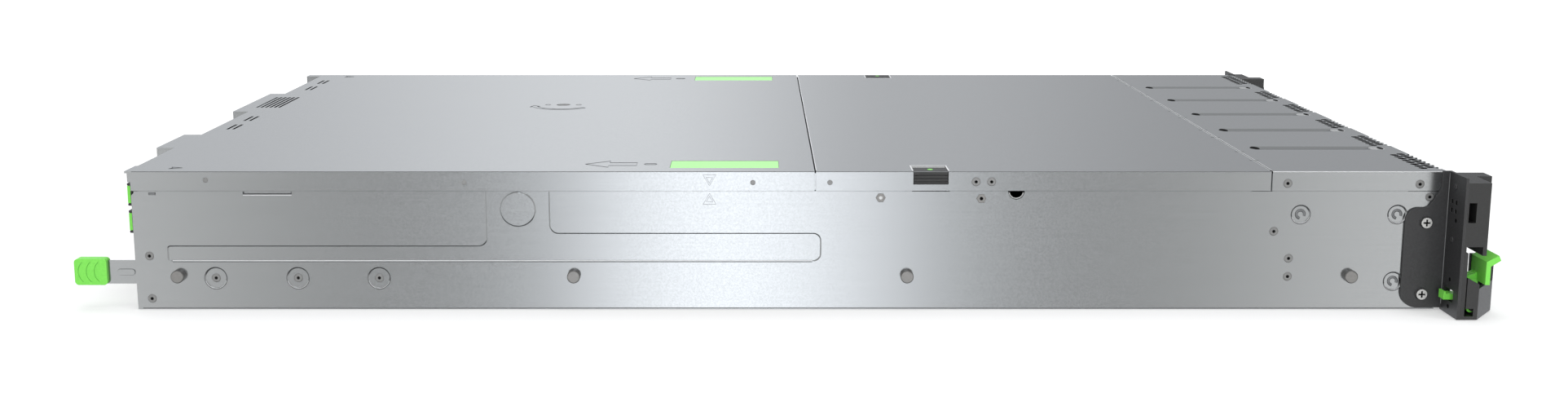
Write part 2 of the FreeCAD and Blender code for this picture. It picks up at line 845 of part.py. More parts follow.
def psu_case():
    case = box(psu_rear, psu_front, psu_inner, psu_outer, psu_bottom, psu_top)
    middle = (psu_bottom + psu_top) / 2
    inlet_y = psu_inner + inlet_from_inside
    inlet = box(psu_rear, psu_rear + inlet_depth, inlet_y - inlet_width / 2, inlet_y + inlet_width / 2,
                middle - inlet_height / 2, middle + inlet_height / 2)
    blades = []
    for across, up in inlet_blade_places:
        y = inlet_y + across
        z = middle + up
        blades.append(box(psu_rear + inlet_depth - inlet_blade, psu_rear + inlet_depth,
                          y - inlet_blade_width / 2, y + inlet_blade_width / 2,
                          z - inlet_blade_height / 2, z + inlet_blade_height / 2))
    fan_y = psu_outer - psu_fan_from_outside
    fan = cylinder((psu_rear, fan_y, middle), (1, 0, 0), psu_fan_radius, psu_fan_depth)
    fan = fan.cut(cylinder((psu_rear, fan_y, middle), (1, 0, 0), psu_fan_hub, psu_fan_depth))
    lugs = []
    z0, z1 = strip_span()
    pivot_y = psu_outer - strip_inset
    pivot_x = psu_rear - strip_knuckle - running_gap
    for low in (z0 - running_gap - lug_height, z1 + running_gap):
        lugs.append(box(pivot_x - strip_knuckle, psu_rear, pivot_y - strip_knuckle, pivot_y + strip_knuckle,
                        low, low + lug_height))
    pin = cylinder((pivot_x, pivot_y, z0 - lug_height), (0, 0, 1), strip_pin, strip_height + 2 * lug_height)
    return joined([case.cut([inlet, fan])] + blades + lugs + [pin])


def psu_strip():
    """Spring steel strip on its knuckle, with a racetrack bead, running rearwards into the grip."""
    z0, z1 = strip_span()
    pivot_y = psu_outer - strip_inset
    pivot_x = psu_rear - strip_knuckle - running_gap
    blade = box(pivot_x - strip_length, pivot_x, pivot_y - sheet / 2, pivot_y + sheet / 2, z0, z1)
    knuckle = cylinder((pivot_x, pivot_y, z0), (0, 0, 1), strip_knuckle, strip_height)
    bore = cylinder((pivot_x, pivot_y, z0), (0, 0, 1), strip_pin + fan_shaft_gap, strip_height)
    bead_end = pivot_x - bead_start
    outline = racetrack(bead_end - bead_length, bead_end, 0, bead_height, 0)
    bead = Part.Face(outline).extrude(V(0, 0, bead_rise))
    bead.rotate(V(0, 0, 0), V(1, 0, 0), -90)
    bead.translate(V(0, pivot_y + sheet / 2, (z0 + z1) / 2))
    return joined([blade, knuckle, bead]).cut(bore)


def psu_grip(strip):
    z0, z1 = strip_span()
    pivot_y = psu_outer - strip_inset
    x1 = psu_rear - strip_knuckle - running_gap - strip_length + grip_length / 2
    x0 = x1 - grip_length
    low = z0 - running_gap
    block = box(x0, x1, pivot_y - grip_thickness / 2, pivot_y + grip_thickness / 2, low, low + grip_height)
    block = block.makeFillet(grip_radius, [edge for edge in block.Edges if along_y(edge)])
    grooves = [grip_groove(x0 + grip_groove_start + index * grip_groove_pitch, pivot_y + grip_thickness / 2,
                           low + grip_height / 2) for index in range(grip_groove_count)]
    return block.cut([strip] + grooves)


def grip_groove(x, y, z):
    """Shallow arc-shaped groove, bulging rearwards from a place on the grip's outer face."""
    start = (x + grip_groove_radius, y - grip_groove_depth, z)
    half_width = grip_groove_width / 2
    ring = cylinder(start, (0, 1, 0), grip_groove_radius + half_width, grip_groove_depth)
    ring = ring.cut(cylinder(start, (0, 1, 0), grip_groove_radius - half_width, grip_groove_depth))
    return ring.common(box(x - half_width, x + grip_groove_radius, y - grip_groove_depth, y,
                           z - grip_groove_half_chord, z + grip_groove_half_chord))


def along_y(edge):
    ends = [vertex.Point for vertex in edge.Vertexes]
    return abs(ends[0].x - ends[1].x) < 1e-6 and abs(ends[0].z - ends[1].z) < 1e-6


def riser_cage():
    x0 = rear_x + psu_recess
    top = wall_top - 2 * sheet
    y1 = bay_wall + riser_wall_inset
    wall = box(x0, x0 + riser_length, y1 - sheet, y1, deck, top)
    lid = box(x0, x0 + riser_length, y1 - sheet, psu_outer, top - sheet, top)
    return joined([wall, lid])


def riser_board():
    x1 = rear_x + psu_recess + riser_length - 4 * sheet
    y0 = bay_wall + riser_wall_inset
    board = box(x1 - riser_board_length, x1, y0, y0 + board_thickness, deck, wall_top - 4 * sheet)
    plugs = []
    for z0, z1 in slot_window_heights():
        middle = (z0 + z1) / 2
        plugs.append(box(x1 - riser_connector_length - sheet, x1 - sheet, y0 + board_thickness,
                         y0 + board_thickness + riser_connector_depth,
                         middle - riser_connector_height / 2, middle + riser_connector_height / 2))
    return joined([board] + plugs)


def slot_latch_levels():
    top = body_height - slot_latch_top_drop
    return [top - slot_latch_pitch - slot_latch_height, top - slot_latch_height]


def slot_latch_housing(z0):
    y1 = half_w - sheet - seat_gap
    y0 = y1 - slot_latch_width
    x0 = rear_x - slot_latch_depth
    z1 = z0 + slot_latch_height
    back = box(rear_x - slot_latch_base, rear_x, y0, y1, z0, z1)
    block = box(x0, rear_x, y0, y0 + slot_latch_block, z0, z1)
    arm_profile = [(x0, y0), (rear_x, y0), (rear_x, y1), (x0, y1 - slot_latch_base)]
    lower = prism_xy(arm_profile, z0, z0 + slot_latch_arm)
    upper = prism_xy(arm_profile, z1 - slot_latch_arm, z1)
    return joined([back, block, lower, upper])


def slot_latch(z0):
    y1 = half_w - sheet - seat_gap
    y0 = y1 - slot_latch_width + slot_latch_block + running_gap
    x0 = rear_x - slot_latch_depth
    x1 = rear_x - slot_latch_base - running_gap
    low = z0 + slot_latch_arm + running_gap
    high = z0 + slot_latch_height - slot_latch_arm - running_gap
    radius = (x1 - x0) / 2
    plate = box(x0, x1, y0 + radius, y1 - slot_latch_base, low, high)
    knuckle = cylinder((x0 + radius, y0 + radius, low), (0, 0, 1), radius, high - low)
    return joined([plate, knuckle])


def drive_cage():
    reach = cell_count / 2 * cell_pitch + partition / 2
    floor = box(cage_rear, cage_front, -reach, reach, sheet, cage_floor)
    pieces = [floor]
    for index in range(cell_count + 1):
        y = (index - cell_count / 2) * cell_pitch
        pieces.append(box(cage_rear, cage_front, y - partition / 2, y + partition / 2, sheet, rib_under))
    for cell in range(cell_count):
        start = (cell - cell_count / 2) * cell_pitch + partition / 2
        for index in range(1, bays_per_cell):
            y = start + index * bay_pitch
            pieces.append(box(cage_rear, bezel_rear - running_gap, y - guide_width / 2, y + guide_width / 2,
                              sheet, cage_floor + guide_height))
    return joined(pieces)


def bay_centres():
    centres = []
    for cell in range(cell_count):
        start = (cell - cell_count / 2) * cell_pitch + partition / 2
        centres += [start + (index + 0.5) * bay_pitch for index in range(bays_per_cell)]
    return centres


def bay_filler(y):
    half = bezel_width / 2
    plate = box(bezel_face - filler_plate, bezel_face, y - half, y + half, cage_floor, bezel_top)
    arm_half = filler_arm_width / 2
    rear = bezel_face - filler_plate - filler_arm_length
    arms = [box(rear, bezel_face - filler_plate, y - arm_half, y + arm_half, cage_floor, cage_floor + sheet),
            box(rear, bezel_face - filler_plate, y - arm_half, y + arm_half, bezel_top - sheet, bezel_top)]
    step = (bezel_top - cage_floor) / filler_slot_count
    slots = []
    for index in range(filler_slot_count):
        z = cage_floor + (index + 0.5) * step
        slots.append(box(bezel_face - filler_plate, bezel_face, y - half / 2, y + half / 2,
                         z - filler_slot_height / 2, z + filler_slot_height / 2))
    return joined([plate] + arms).cut(slots)


def lever_axis():
    return bezel_face + running_gap + lever_thickness / 2, body_height - lever_top_drop


def drive(y):
    """A drive in its carrier: case, runners under and over it, and a bezel with two lugs for the lever."""
    low = cage_floor + running_gap
    half = drive_thickness / 2
    case = box(drive_rear, bezel_rear, y - half, y + half, low + runner_height, body_height - drive_top_drop)
    runner = box(drive_rear + runner_height, bezel_rear, y - half, y + half, low, low + runner_height)
    bezel = box(bezel_rear, bezel_face, y - bezel_width / 2, y + bezel_width / 2, low, bezel_top)
    axis_x, axis_z = lever_axis()
    lug_in = lever_width / 2 + running_gap
    lugs = []
    for side in (-1, 1):
        ends = sorted((y + side * lug_in, y + side * bezel_width / 2))
        lugs.append(box(bezel_face, axis_x + lever_thickness / 2, ends[0], ends[1],
                        axis_z - lever_thickness, axis_z + lever_thickness))
    bore = cylinder((axis_x, y - bezel_width / 2, axis_z), (0, 1, 0), lever_pin + fan_shaft_gap, bezel_width)
    return joined([case, runner, bezel] + lugs).cut(bore)


def drive_lever(y):
    axis_x, axis_z = lever_axis()
    half = lever_width / 2
    radius = lever_thickness / 2
    plate = box(axis_x - radius, axis_x + radius, y - half, y + half, axis_z - lever_length, axis_z)
    knuckle = cylinder((axis_x, y - half, axis_z), (0, 1, 0), radius, lever_width)
    pin = cylinder((axis_x, y - bezel_width / 2, axis_z), (0, 1, 0), lever_pin, bezel_width)
    tip = prism_xz([(axis_x + radius, axis_z - lever_length), (axis_x + 2 * radius, axis_z - lever_length),
                    (axis_x + radius, axis_z - lever_length + 3 * lever_thickness)], y - half, y + half)
    return joined([plate, knuckle, pin, tip])


def backplane():
    x1 = drive_rear - backplane_gap
    x0 = x1 - backplane_connector
    reach = cell_count / 2 * cell_pitch
    board = box(x0 - backplane_thickness, x0, -reach, reach, sheet, bezel_top)
    plugs = []
    for y in bay_centres():
        plugs.append(box(x0, x1, y - drive_thickness / 4, y + drive_thickness / 4,
                         cage_floor + 3 * runner_height, body_height / 2))
    vents = []
    for index in range(cell_count):
        y = (index + 0.5 - cell_count / 2) * cell_pitch
        vents.append(box(x0 - backplane_thickness, x0, y - cell_pitch / 3, y + cell_pitch / 3,
                         body_height / 2 + 3 * runner_height, bezel_top - 3 * runner_height))
    return joined([board.cut(vents)] + plugs)


def fan_pitch():
    return (body_width - 2 * cage_margin) / fan_count


def fan_centres():
    return [(index + 0.5 - fan_count / 2) * fan_pitch() for index in range(fan_count)]


def fan_middle():
    return 2 * sheet + fan_size / 2


def fan_bracket():
    reach = fan_count / 2 * fan_pitch()
    plate = box(bracket_x, bracket_x + sheet, -reach, reach, sheet, sheet + fan_bracket_height)
    ledge = box(bracket_x - fan_ledge, bracket_x + sheet, -reach, reach, sheet, 2 * sheet)
    holes = [cylinder((bracket_x, y, fan_middle()), (1, 0, 0), fan_bore, sheet) for y in fan_centres()]
    return joined([plate, ledge]).cut(holes)


def fan_housing(y):
    z = fan_middle()
    half = fan_size / 2
    x0 = bracket_x - fan_depth
    corners = [(y - half, z - half, fan_corner), (y + half, z - half, fan_corner),
               (y + half, z + half, fan_corner), (y - half, z + half, fan_corner)]
    frame = rounded_prism(corners, lambda p: V(x0, p.x, p.y), (fan_depth, 0, 0))
    frame = frame.cut(cylinder((x0, y, z), (1, 0, 0), fan_bore, fan_depth))
    hub = cylinder((x0, y, z), (1, 0, 0), fan_hub, fan_strut)
    shaft = cylinder((x0, y, z), (1, 0, 0), fan_shaft, fan_strut + rotor_length / 2)
    reach = fan_bore + sheet
    thin = fan_strut / 2
    struts = [box(x0, x0 + fan_strut, y - reach, y + reach, z - thin, z + thin),
              box(x0, x0 + fan_strut, y - thin, y + thin, z - reach, z + reach)]
    return joined([frame, hub, shaft] + struts)


def blade_section(radius, angle):
    """Four corners of a blade's section at one radius, along +Z from the rotor's axis."""
    slant = math.radians(angle)
    along = V(math.cos(slant), math.sin(slant), 0) * (blade_chord / 2)
    across = V(-math.sin(slant), math.cos(slant), 0) * (blade_thickness / 2)
    middle = V(0, 0, radius)
    corners = [middle + along + across, middle + along - across,
               middle - along - across, middle - along + across]
    return Part.makePolygon(corners + corners[:1])


def fan_rotor(y):
    x0 = bracket_x - fan_depth + fan_strut + running_gap
    hub = cylinder((-rotor_length / 2, 0, 0), (1, 0, 0), fan_hub, rotor_length)
    blades = []
    for index in range(blade_count):
        blade = Part.makeLoft([blade_section(blade_root, blade_root_angle),
                               blade_section(blade_tip, blade_tip_angle)], True, True)
        blade.rotate(V(0, 0, 0), V(1, 0, 0), index * 360 / blade_count)
        blades.append(blade)
    bore = cylinder((-rotor_length / 2, 0, 0), (1, 0, 0), fan_shaft + fan_shaft_gap,
                    rotor_length / 2 + running_gap)
    rotor = joined([hub] + blades).cut(bore)
    rotor.translate(V(x0 + rotor_length / 2, y, fan_middle()))
    return rotor


def sink_span():
    x1 = board_front - sink_front_inset
    return x1 - sink_length, x1


def memory_places():
    places = []
    for bank in memory_banks:
        for index in range(memory_per_bank):
            places.append(bank + (index - (memory_per_bank - 1) / 2) * memory_pitch)
    return places


def motherboard():
    side = half_w - board_side_inset
    neck = psu_front + backplane_connector + 4 * board_thickness
    outline = [(rear_x + board_rear_inset, -board_neck_half), (neck, -board_neck_half), (neck, -side),
               (board_front, -side), (board_front, side), (neck, side), (neck, board_neck_half),
               (rear_x + board_rear_inset, board_neck_half)]
    pieces = [prism_xy(outline, board_bottom, board_top)]
    x0, x1 = sink_span()
    for y in (-sink_y, sink_y):
        pieces.append(box(x0 + sink_length / 4, x1 - sink_length / 4, y - sink_width / 3, y + sink_width / 3,
                          board_bottom, board_top + socket_height))
    dimm_x1 = board_front - memory_front_inset
    for y in memory_places():
        pieces.append(box(dimm_x1 - memory_length, dimm_x1, y - memory_thickness, y + memory_thickness,
                          board_bottom, board_top + memory_socket_height))
    return joined(pieces)


def heat_sink(y):
    """Comb-shaped section of base and fins, drawn along the airflow."""
    x0, x1 = sink_span()
    low = board_top + socket_height
    top = body_height - sink_top_drop
    step = (sink_width - fin_thickness) / (fin_count - 1)
    left = y - sink_width / 2
    profile = [(left, low), (left + sink_width, low)]
    for index in reversed(range(fin_count)):
        fin = left + index * step
        profile += [(fin + fin_thickness, low + sink_base), (fin + fin_thickness, top),
                    (fin, top), (fin, low + sink_base)]
    tidy = [profile[0], profile[1]] + profile[3:-1]
    return prism_yz(tidy, x0, x1)


def memory_modules():
    x1 = board_front - memory_front_inset
    low = board_top + memory_socket_height
    return [box(x1 - memory_length, x1, y - memory_thickness / 2, y + memory_thickness / 2,
                low, low + memory_height) for y in memory_places()]


def ear_bracket():
    """Folded black steel: a flange on the side wall with an S-shaped shoulder, and the rack plate."""
    left = front_x - flange_reach
    neck = front_x - flange_neck_reach
    low = ear_bottom + sheet
    corners = [(ear_face, low, 0), (ear_face, ear_top, 0), (neck, ear_top, 0),
               (neck, flange_shoulder_z + flange_neck_rise, flange_top_radius / 2),
               (neck - flange_top_radius, flange_shoulder_z, flange_top_radius / 2),
               (left, flange_shoulder_z, flange_top_radius), (left, low, flange_low_radius)]
    flange = rounded_prism(corners, lambda p: V(p.x, half_w, p.y), (0, ear_plate, 0))
    plate = box(ear_x, ear_face, half_w, ear_out, ear_bottom, ear_top)
    cuts = [hook_room(ear_x, ear_face)]
    for out, z in light_pipe_places:
        y = half_w + out
        half = light_pipe_size / 2
        cuts.append(box(ear_x, ear_face, y - half, y + half, z - half, z + half))
    return joined([flange, plate]).cut(cuts)


def hook_room(x0, x1):
    return box(x0, x1, half_w + hook_window[0], half_w + hook_window[1], hook_low, hook_high)


def ear_screws():
    screws = []
    for z in ear_screw_heights:
        head = cylinder((front_x - ear_screw_inset, half_w + ear_plate, z), (0, 1, 0),
                        ear_screw_radius, ear_screw_head)
        screws += both_sides(head)
    return screws


def ear_housing(side_slot, button_bores):
    """Moulded body in front of the rack plate: an upper block, and a guard round the lever below it."""
    top = body_height - housing_top_drop
    inner = half_w - inner_block_start
    outer = half_w + outer_block_start
    guard_in = outer - guard_wall
    block_front = ear_face + housing_depth
    guard_front = ear_face + guard_reach
    corner_x = ear_face + guard_corner_reach
    under = housing_underside
    strip_front = ear_face + base_strip
    pieces = [
        box(ear_face, ear_face + housing_wall, inner, ear_out, ear_bottom, top),
        box(ear_face, block_front, outer, ear_out, under, top),
        box(block_front - housing_lip, block_front, outer, ear_out, under - housing_lip_drop, under),
        box(ear_face, ear_face + inner_block_depth, inner, outer, under, top),
        box(ear_face, strip_front, outer, ear_out, ear_bottom, base_strip_top),
        prism_xy([(ear_face, guard_in), (guard_front, guard_in), (guard_front, outer), (corner_x, ear_out),
                  (ear_face, ear_out)], ear_bottom, ear_bottom + guard_floor),
        prism_xz([(strip_front, guard_side_bottom), (corner_x, guard_side_bottom),
                  (corner_x, guard_side_front_top), (strip_front, guard_side_rear_top)],
                 ear_out - guard_wall, ear_out),
        prism_xy([(corner_x, ear_out), (guard_front, outer), (guard_front - guard_slant, outer),
                  (corner_x - guard_slant, ear_out)], ear_bottom, guard_top),
        box(ear_face + guard_inner_start, guard_front, guard_in, outer, ear_bottom, guard_inner_top),
        box(ear_face, ear_face + guard_inner_start, guard_in, outer, ear_bottom, cheek_height),
        cylinder((lever_axis_x, guard_in, lever_axis_z), (0, 1, 0), ear_lever_pin,
                 ear_out - guard_wall - running_gap - guard_in),
    ]
    cuts = [hook_room(ear_face, strip_front)]
    if side_slot:
        offset, width, low, height, depth = slot_mouth
        x0 = ear_face + offset
        cuts.append(box(x0, x0 + width, ear_out - depth, ear_out, low, low + height))
    button_y = (inner + outer) / 2
    front = ear_face + inner_block_depth
    room = button_length + button_travel + running_gap - button_proud
    for radius, z in button_bores:
        cuts.append(cylinder((front - room, button_y, z), (1, 0, 0), radius + running_gap, room))
    return joined(pieces).cut(cuts)


def ear_lever():
    """Quick-release lever: hook arm, web and pivot boss inside the guard, wall and thumb tab above it."""
    core0 = half_w + ear_lever_core[0]
    core1 = half_w + ear_lever_core[1]
    wall0 = half_w + outer_block_start + running_gap * 3
    wall1 = ear_out - running_gap
    front = lever_rear + ear_lever_wall
    web0 = lever_axis_x - ear_lever_boss
    web1 = lever_axis_x + ear_lever_boss
    arm_low = ear_lever_bottom - ear_lever_arm + running_gap
    hook_tip = ear_face - hook_reach
    upper = prism_xz([(lever_rear, ear_lever_bottom), (front, ear_lever_bottom),
                      (front, ear_lever_top - ear_lever_wall),
                      (front + thumb_reach, ear_lever_top + thumb_under_rise),
                      (front + thumb_reach - thumb_slant, ear_lever_top + thumb_rise),
                      (lever_rear, ear_lever_top)], wall0, wall1)
    pieces = [
        upper,
        box(web0 - ear_lever_boss / 2, lever_rear + ear_lever_wall / 4, core0, core1, arm_low,
            ear_lever_bottom + ear_lever_arm / 2),
        box(web0, web1, core0, core1, lever_axis_z, arm_low + ear_lever_arm / 2),
        box(hook_tip, web1, core0, core1, hook_bottom, hook_bottom + hook_height),
        box(hook_tip, hook_tip + hook_lip, core0, core1, hook_bottom, hook_bottom + hook_height + hook_lip),
        cylinder((lever_axis_x, half_w + outer_block_start + running_gap * 2, lever_axis_z), (0, 1, 0),
                 ear_lever_boss, ear_lever_boss_length),
    ]
    bore = cylinder((lever_axis_x, half_w, lever_axis_z), (0, 1, 0), ear_lever_pin + fan_shaft_gap,
                    ear_out - half_w)
    return joined(pieces).cut(bore)


def button(radius, z):
    y = half_w - inner_block_start + (inner_block_start + outer_block_start) / 2
    front = ear_face + inner_block_depth + button_proud
    return cylinder((front - button_length, y, z), (1, 0, 0), radius, button_length)


os.makedirs("parts", exist_ok=True)

wall = side_wall()
bracket = ear_bracket()
lever = ear_lever()
latch = cover_latch()
strip = psu_strip()
case = psu_case()
grip = psu_grip(strip)
buttons = [(button_radius, body_height - button_top_drop),
           (id_button_radius, body_height - id_button_top_drop)]
centres = bay_centres()

parts = {
    "base_pan": [base_pan()],
    "side_wall_left": [wall],
    "side_wall_right": [mirrored(wall)],
    "cover_rails": cover_rails(),
    "rear_panel": [rear_panel()],
    "io_plate": [io_plate()],
    "front_top_panel": [front_top_panel()],
    "rail_studs": rail_studs(),
    "drive_cage": [drive_cage()],
    "bay_fillers": [bay_filler(y) for y in centres[drive_count:]],
    "backplane": [backplane()],
    "fan_bracket": [fan_bracket()],
    "fan_housings": [fan_housing(y) for y in fan_centres()],
    "motherboard": [motherboard()],
    "cpu_heat_sinks": [heat_sink(-sink_y), heat_sink(sink_y)],
    "memory_modules": memory_modules(),
    "psu_bays": both_sides(psu_bay()),
    "power_boards": both_sides(power_board()),
    "riser_cages": both_sides(riser_cage()),
    "riser_boards": both_sides(riser_board()),
    "slot_covers": slot_covers(),
    "slot_latch_housings": [mirrored(slot_latch_housing(z)) for z in slot_latch_levels()],
    "rear_connectors": rear_connectors(),
    "ear_bracket_left": [bracket],
    "ear_bracket_right": [mirrored(bracket)],
    "ear_housing_left": [ear_housing(False, buttons)],
    "ear_housing_right": [mirrored(ear_housing(True, []))],
    "ear_screws": ear_screws(),
    "rear_cover": [rear_cover()],
    "touch_pads": touch_pads(),
    "cover_lock": [cover_lock()],
    "mid_cover": [mid_cover()],
    "cover_latch_left": [latch],
    "cover_latch_right": [mirrored(latch)],
    "psu_case_left": [case],
    "psu_case_right": [mirrored(case)],
    "psu_strip_left": [strip],
    "psu_strip_right": [mirrored(strip)],
    "psu_grip_left": [grip],
    "psu_grip_right": [mirrored(grip)],
    "ear_lever_left": [lever],
    "ear_lever_right": [mirrored(lever)],
    "power_button": [button(*buttons[0])],
    "id_button": [button(*buttons[1])],
    "slot_latch_lower": [mirrored(slot_latch(slot_latch_levels()[0]))],
    "slot_latch_upper": [mirrored(slot_latch(slot_latch_levels()[1]))],
}
for index, y in enumerate(centres[:drive_count], 1):
    parts["drive_%d" % index] = [drive(y)]
    parts["drive_lever_%d" % index] = [drive_lever(y)]
for index, y in enumerate(fan_centres(), 1):
    parts["fan_rotor_%d" % index] = [fan_rotor(y)]

for name, solids in parts.items():
    save(name, solids)
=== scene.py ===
# %% [markdown]
# # Dressing a 2U rack server
# The server is a long, flat box of zinc-plated sheet steel. Its construction is already there as a frame of
# named parts, so this lesson only gives those parts their finish and adds the small things that a press, a
# riveter or an engraver leaves on them. The frame is in metres, with +X as the server's front, +Y as its left
# side and +Z up. Places on the server are written in millimetres and become metres where they are used.

# %% Load the frame
import math
from collections import namedtuple

import bmesh
import bpy
from mathutils import Matrix, Vector


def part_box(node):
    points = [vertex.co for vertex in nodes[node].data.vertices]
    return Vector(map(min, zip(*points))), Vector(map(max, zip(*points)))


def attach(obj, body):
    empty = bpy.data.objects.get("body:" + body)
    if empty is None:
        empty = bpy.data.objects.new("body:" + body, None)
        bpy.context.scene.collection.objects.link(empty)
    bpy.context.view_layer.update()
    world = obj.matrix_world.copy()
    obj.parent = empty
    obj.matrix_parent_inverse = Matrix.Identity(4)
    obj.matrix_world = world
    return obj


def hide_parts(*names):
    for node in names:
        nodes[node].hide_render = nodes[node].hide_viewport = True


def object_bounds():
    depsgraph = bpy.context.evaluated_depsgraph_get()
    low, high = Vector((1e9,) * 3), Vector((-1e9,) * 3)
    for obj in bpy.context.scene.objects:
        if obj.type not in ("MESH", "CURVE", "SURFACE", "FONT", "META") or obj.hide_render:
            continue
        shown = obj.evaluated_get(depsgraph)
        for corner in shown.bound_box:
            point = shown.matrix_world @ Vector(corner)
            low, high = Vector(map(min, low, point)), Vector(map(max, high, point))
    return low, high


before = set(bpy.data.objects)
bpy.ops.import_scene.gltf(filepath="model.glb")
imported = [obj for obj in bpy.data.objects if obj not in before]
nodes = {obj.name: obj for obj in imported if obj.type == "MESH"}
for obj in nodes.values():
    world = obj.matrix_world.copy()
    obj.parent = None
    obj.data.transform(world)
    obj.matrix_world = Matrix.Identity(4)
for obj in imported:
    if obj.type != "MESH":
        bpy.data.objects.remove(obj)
cad_low, cad_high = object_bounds()
scene = bpy.context.scene
MM = 0.001
print("frame loaded:", len(nodes), "nodes, size", [round(v, 4) for v in cad_high - cad_low])

# %% [markdown]
# ## Camera
# The photograph looks straight at the right side from a little above, and every upright edge stays upright.
# A view camera does that with a level lens and a large shift. A large shift would push the server out of the
# picture in every other view, so most of it is exchanged here for a tilt of about nine degrees. The place,
# the tilt and the focal length were fitted so that the corners of the box land within a few pixels of the
# photograph's.

# %% Camera at the photograph's place
camera_pitch = math.radians(9.37)
camera_data = bpy.data.cameras.new("photo_camera")
camera_data.lens = 35.474
camera_data.sensor_width = 36.0
camera_data.shift_x = 0.01756
camera_data.shift_y = -0.05
camera_data.clip_end = 60.0
camera = bpy.data.objects.new("photo_camera", camera_data)
camera.location = Vector((-18.4, -1144.6, 273.0)) * MM
camera.rotation_euler = (math.pi / 2 - camera_pitch, 0.0, 0.0)
scene.collection.objects.link(camera)
scene.camera = camera
scene.view_settings.view_transform = "Standard"
print("camera at", tuple(round(v, 3) for v in camera.location))

# %% [markdown]
# ## Node helpers
# Materials and shape trees are graphs of nodes. Two short helpers make them readable as text: one fills a
# socket with a plain value or with another node's output, and one adds a node and fills its sockets by name.
# The others are the few nodes that come up again and again, and a group with named sockets.

# %% Helpers for node trees
def wire(tree, value, socket):
    """Links another node's output to a socket, or sets the socket to a plain value."""
    if isinstance(value, bpy.types.NodeSocket):
        tree.links.new(value, socket)
    else:
        socket.default_value = value


def add_node(tree, kind, values=None, **settings):
    """Adds one node, sets its properties, then fills its input sockets by name or index."""
    item = tree.nodes.new(kind)
    for key, value in settings.items():
        setattr(item, key, value)
    for key, value in (values or {}).items():
        wire(tree, value, item.inputs[key])
    return item


def empty_tree(owner):
    """The cleared node tree of a material or a world."""
    owner.use_nodes = True
    owner.node_tree.nodes.clear()
    return owner.node_tree


def new_group(title, kind, inputs, outputs):
    """A node group with named sockets. Returns the tree, the values it is given and those it gives."""
    tree = bpy.data.node_groups.new(title, kind)
    for name, socket_type, value in inputs:
        socket = tree.interface.new_socket(name, in_out="INPUT", socket_type=f"NodeSocket{socket_type}")
        if value is not None:
            socket.default_value = value
    for name, socket_type in outputs:
        tree.interface.new_socket(name, in_out="OUTPUT", socket_type=f"NodeSocket{socket_type}")
    return tree, tree.nodes.new("NodeGroupInput").outputs, tree.nodes.new("NodeGroupOutput").inputs


def calculate(tree, operation, first, second):
    """One Math node. Each value is a number or the output of another node."""
    return add_node(tree, "ShaderNodeMath", {0: first, 1: second}, operation=operation).outputs[0]


def blend(tree, factor, first, second, kind="RGBA"):
    """A colour or a number between two others. Each is plain or the output of another node."""
    ends = [(*end, 1.0) if isinstance(end, tuple) else end for end in (first, second)]
    values = {"Factor": factor, "A": ends[0], "B": ends[1]}
    return add_node(tree, "ShaderNodeMix", values, data_type=kind).outputs["Result"]


def remap(tree, value, low, high, to_low=0.0, to_high=1.0):
    """A value moved from one range to another and held inside it."""
    values = {"Value": value, "From Min": low, "From Max": high, "To Min": to_low, "To Max": to_high}
    return add_node(tree, "ShaderNodeMapRange", values).outputs[0]


# %% [markdown]
# ## Stage
# The background is plain white, and the server throws only a soft shadow close to its foot. The floor is
# white paint with a little glow of its own that only the camera and mirror-like rays see, so it reaches white
# without more light on the server, and it still darkens where the server keeps the light off. Further away,
# where the lamps fade and no shadow falls, the glow grows until the floor meets the white backdrop.

# %% Floor
def plain_piece(name, places, faces, material):
    """An object from places in millimetres and the faces between them."""
    mesh = bpy.data.meshes.new(name)
    mesh.from_pydata([Vector(place) * MM for place in places], [], faces)
    mesh.materials.append(material)
    piece = bpy.data.objects.new(name, mesh)
    scene.collection.objects.link(piece)
    return piece


def seen_by_eye(tree):
    """A mask that is 1 for camera, glossy and transmission rays and 0 for the rays that carry light."""
    path = add_node(tree, "ShaderNodeLightPath").outputs
    eye = calculate(tree, "MAXIMUM", path["Is Camera Ray"], path["Is Glossy Ray"])
    return calculate(tree, "MAXIMUM", eye, path["Is Transmission Ray"])


white = (1.0, 1.0, 1.0)
floor_half, floor_drop, floor_glow = 7000.0, 0.4, 0.38
shadow_reach, white_from = 0.7, 1.8
floor_paint = bpy.data.materials.new("floor_paint")
paint_tree = empty_tree(floor_paint)
floor_place = add_node(paint_tree, "ShaderNodeTexCoord").outputs["Object"]
from_server = add_node(paint_tree, "ShaderNodeVectorMath", {0: floor_place}, operation="LENGTH")
glow_level = remap(paint_tree, from_server.outputs["Value"], shadow_reach, white_from, floor_glow, 1.0)
glow_seen = calculate(paint_tree, "MULTIPLY", seen_by_eye(paint_tree), glow_level)
paint = add_node(paint_tree, "ShaderNodeBsdfDiffuse", {"Color": (0.62, 0.62, 0.62, 1.0)})
glow = add_node(paint_tree, "ShaderNodeEmission", {"Color": (*white, 1.0), "Strength": glow_seen})
paint_and_glow = add_node(paint_tree, "ShaderNodeAddShader", {0: paint.outputs[0], 1: glow.outputs[0]})
add_node(paint_tree, "ShaderNodeOutputMaterial", {"Surface": paint_and_glow.outputs[0]})
floor_corners = [(x * floor_half, y * floor_half, -floor_drop)
                 for x, y in ((-1, -1), (1, -1), (1, 1), (-1, 1))]
floor = plain_piece("floor", floor_corners, [(0, 1, 2, 3)], floor_paint)
floor.visible_glossy = False
print("floor of", 2 * floor_half * MM, "m")

# %% [markdown]
# ## Light
# Plated steel shows the room more than it shows itself, so the room is the real subject here. The side wall
# mirrors what stands behind the camera, and the covers mirror what stands behind the server. Each of these
# two studio walls is a ramp of brightness along X: white panels with one tall bright strip behind the camera,
# which makes the soft band on the side wall, and a slow fade towards the front behind the server. Only mirror
# rays see them. Everything matt is lit by an even world and three soft panels at a plain level.

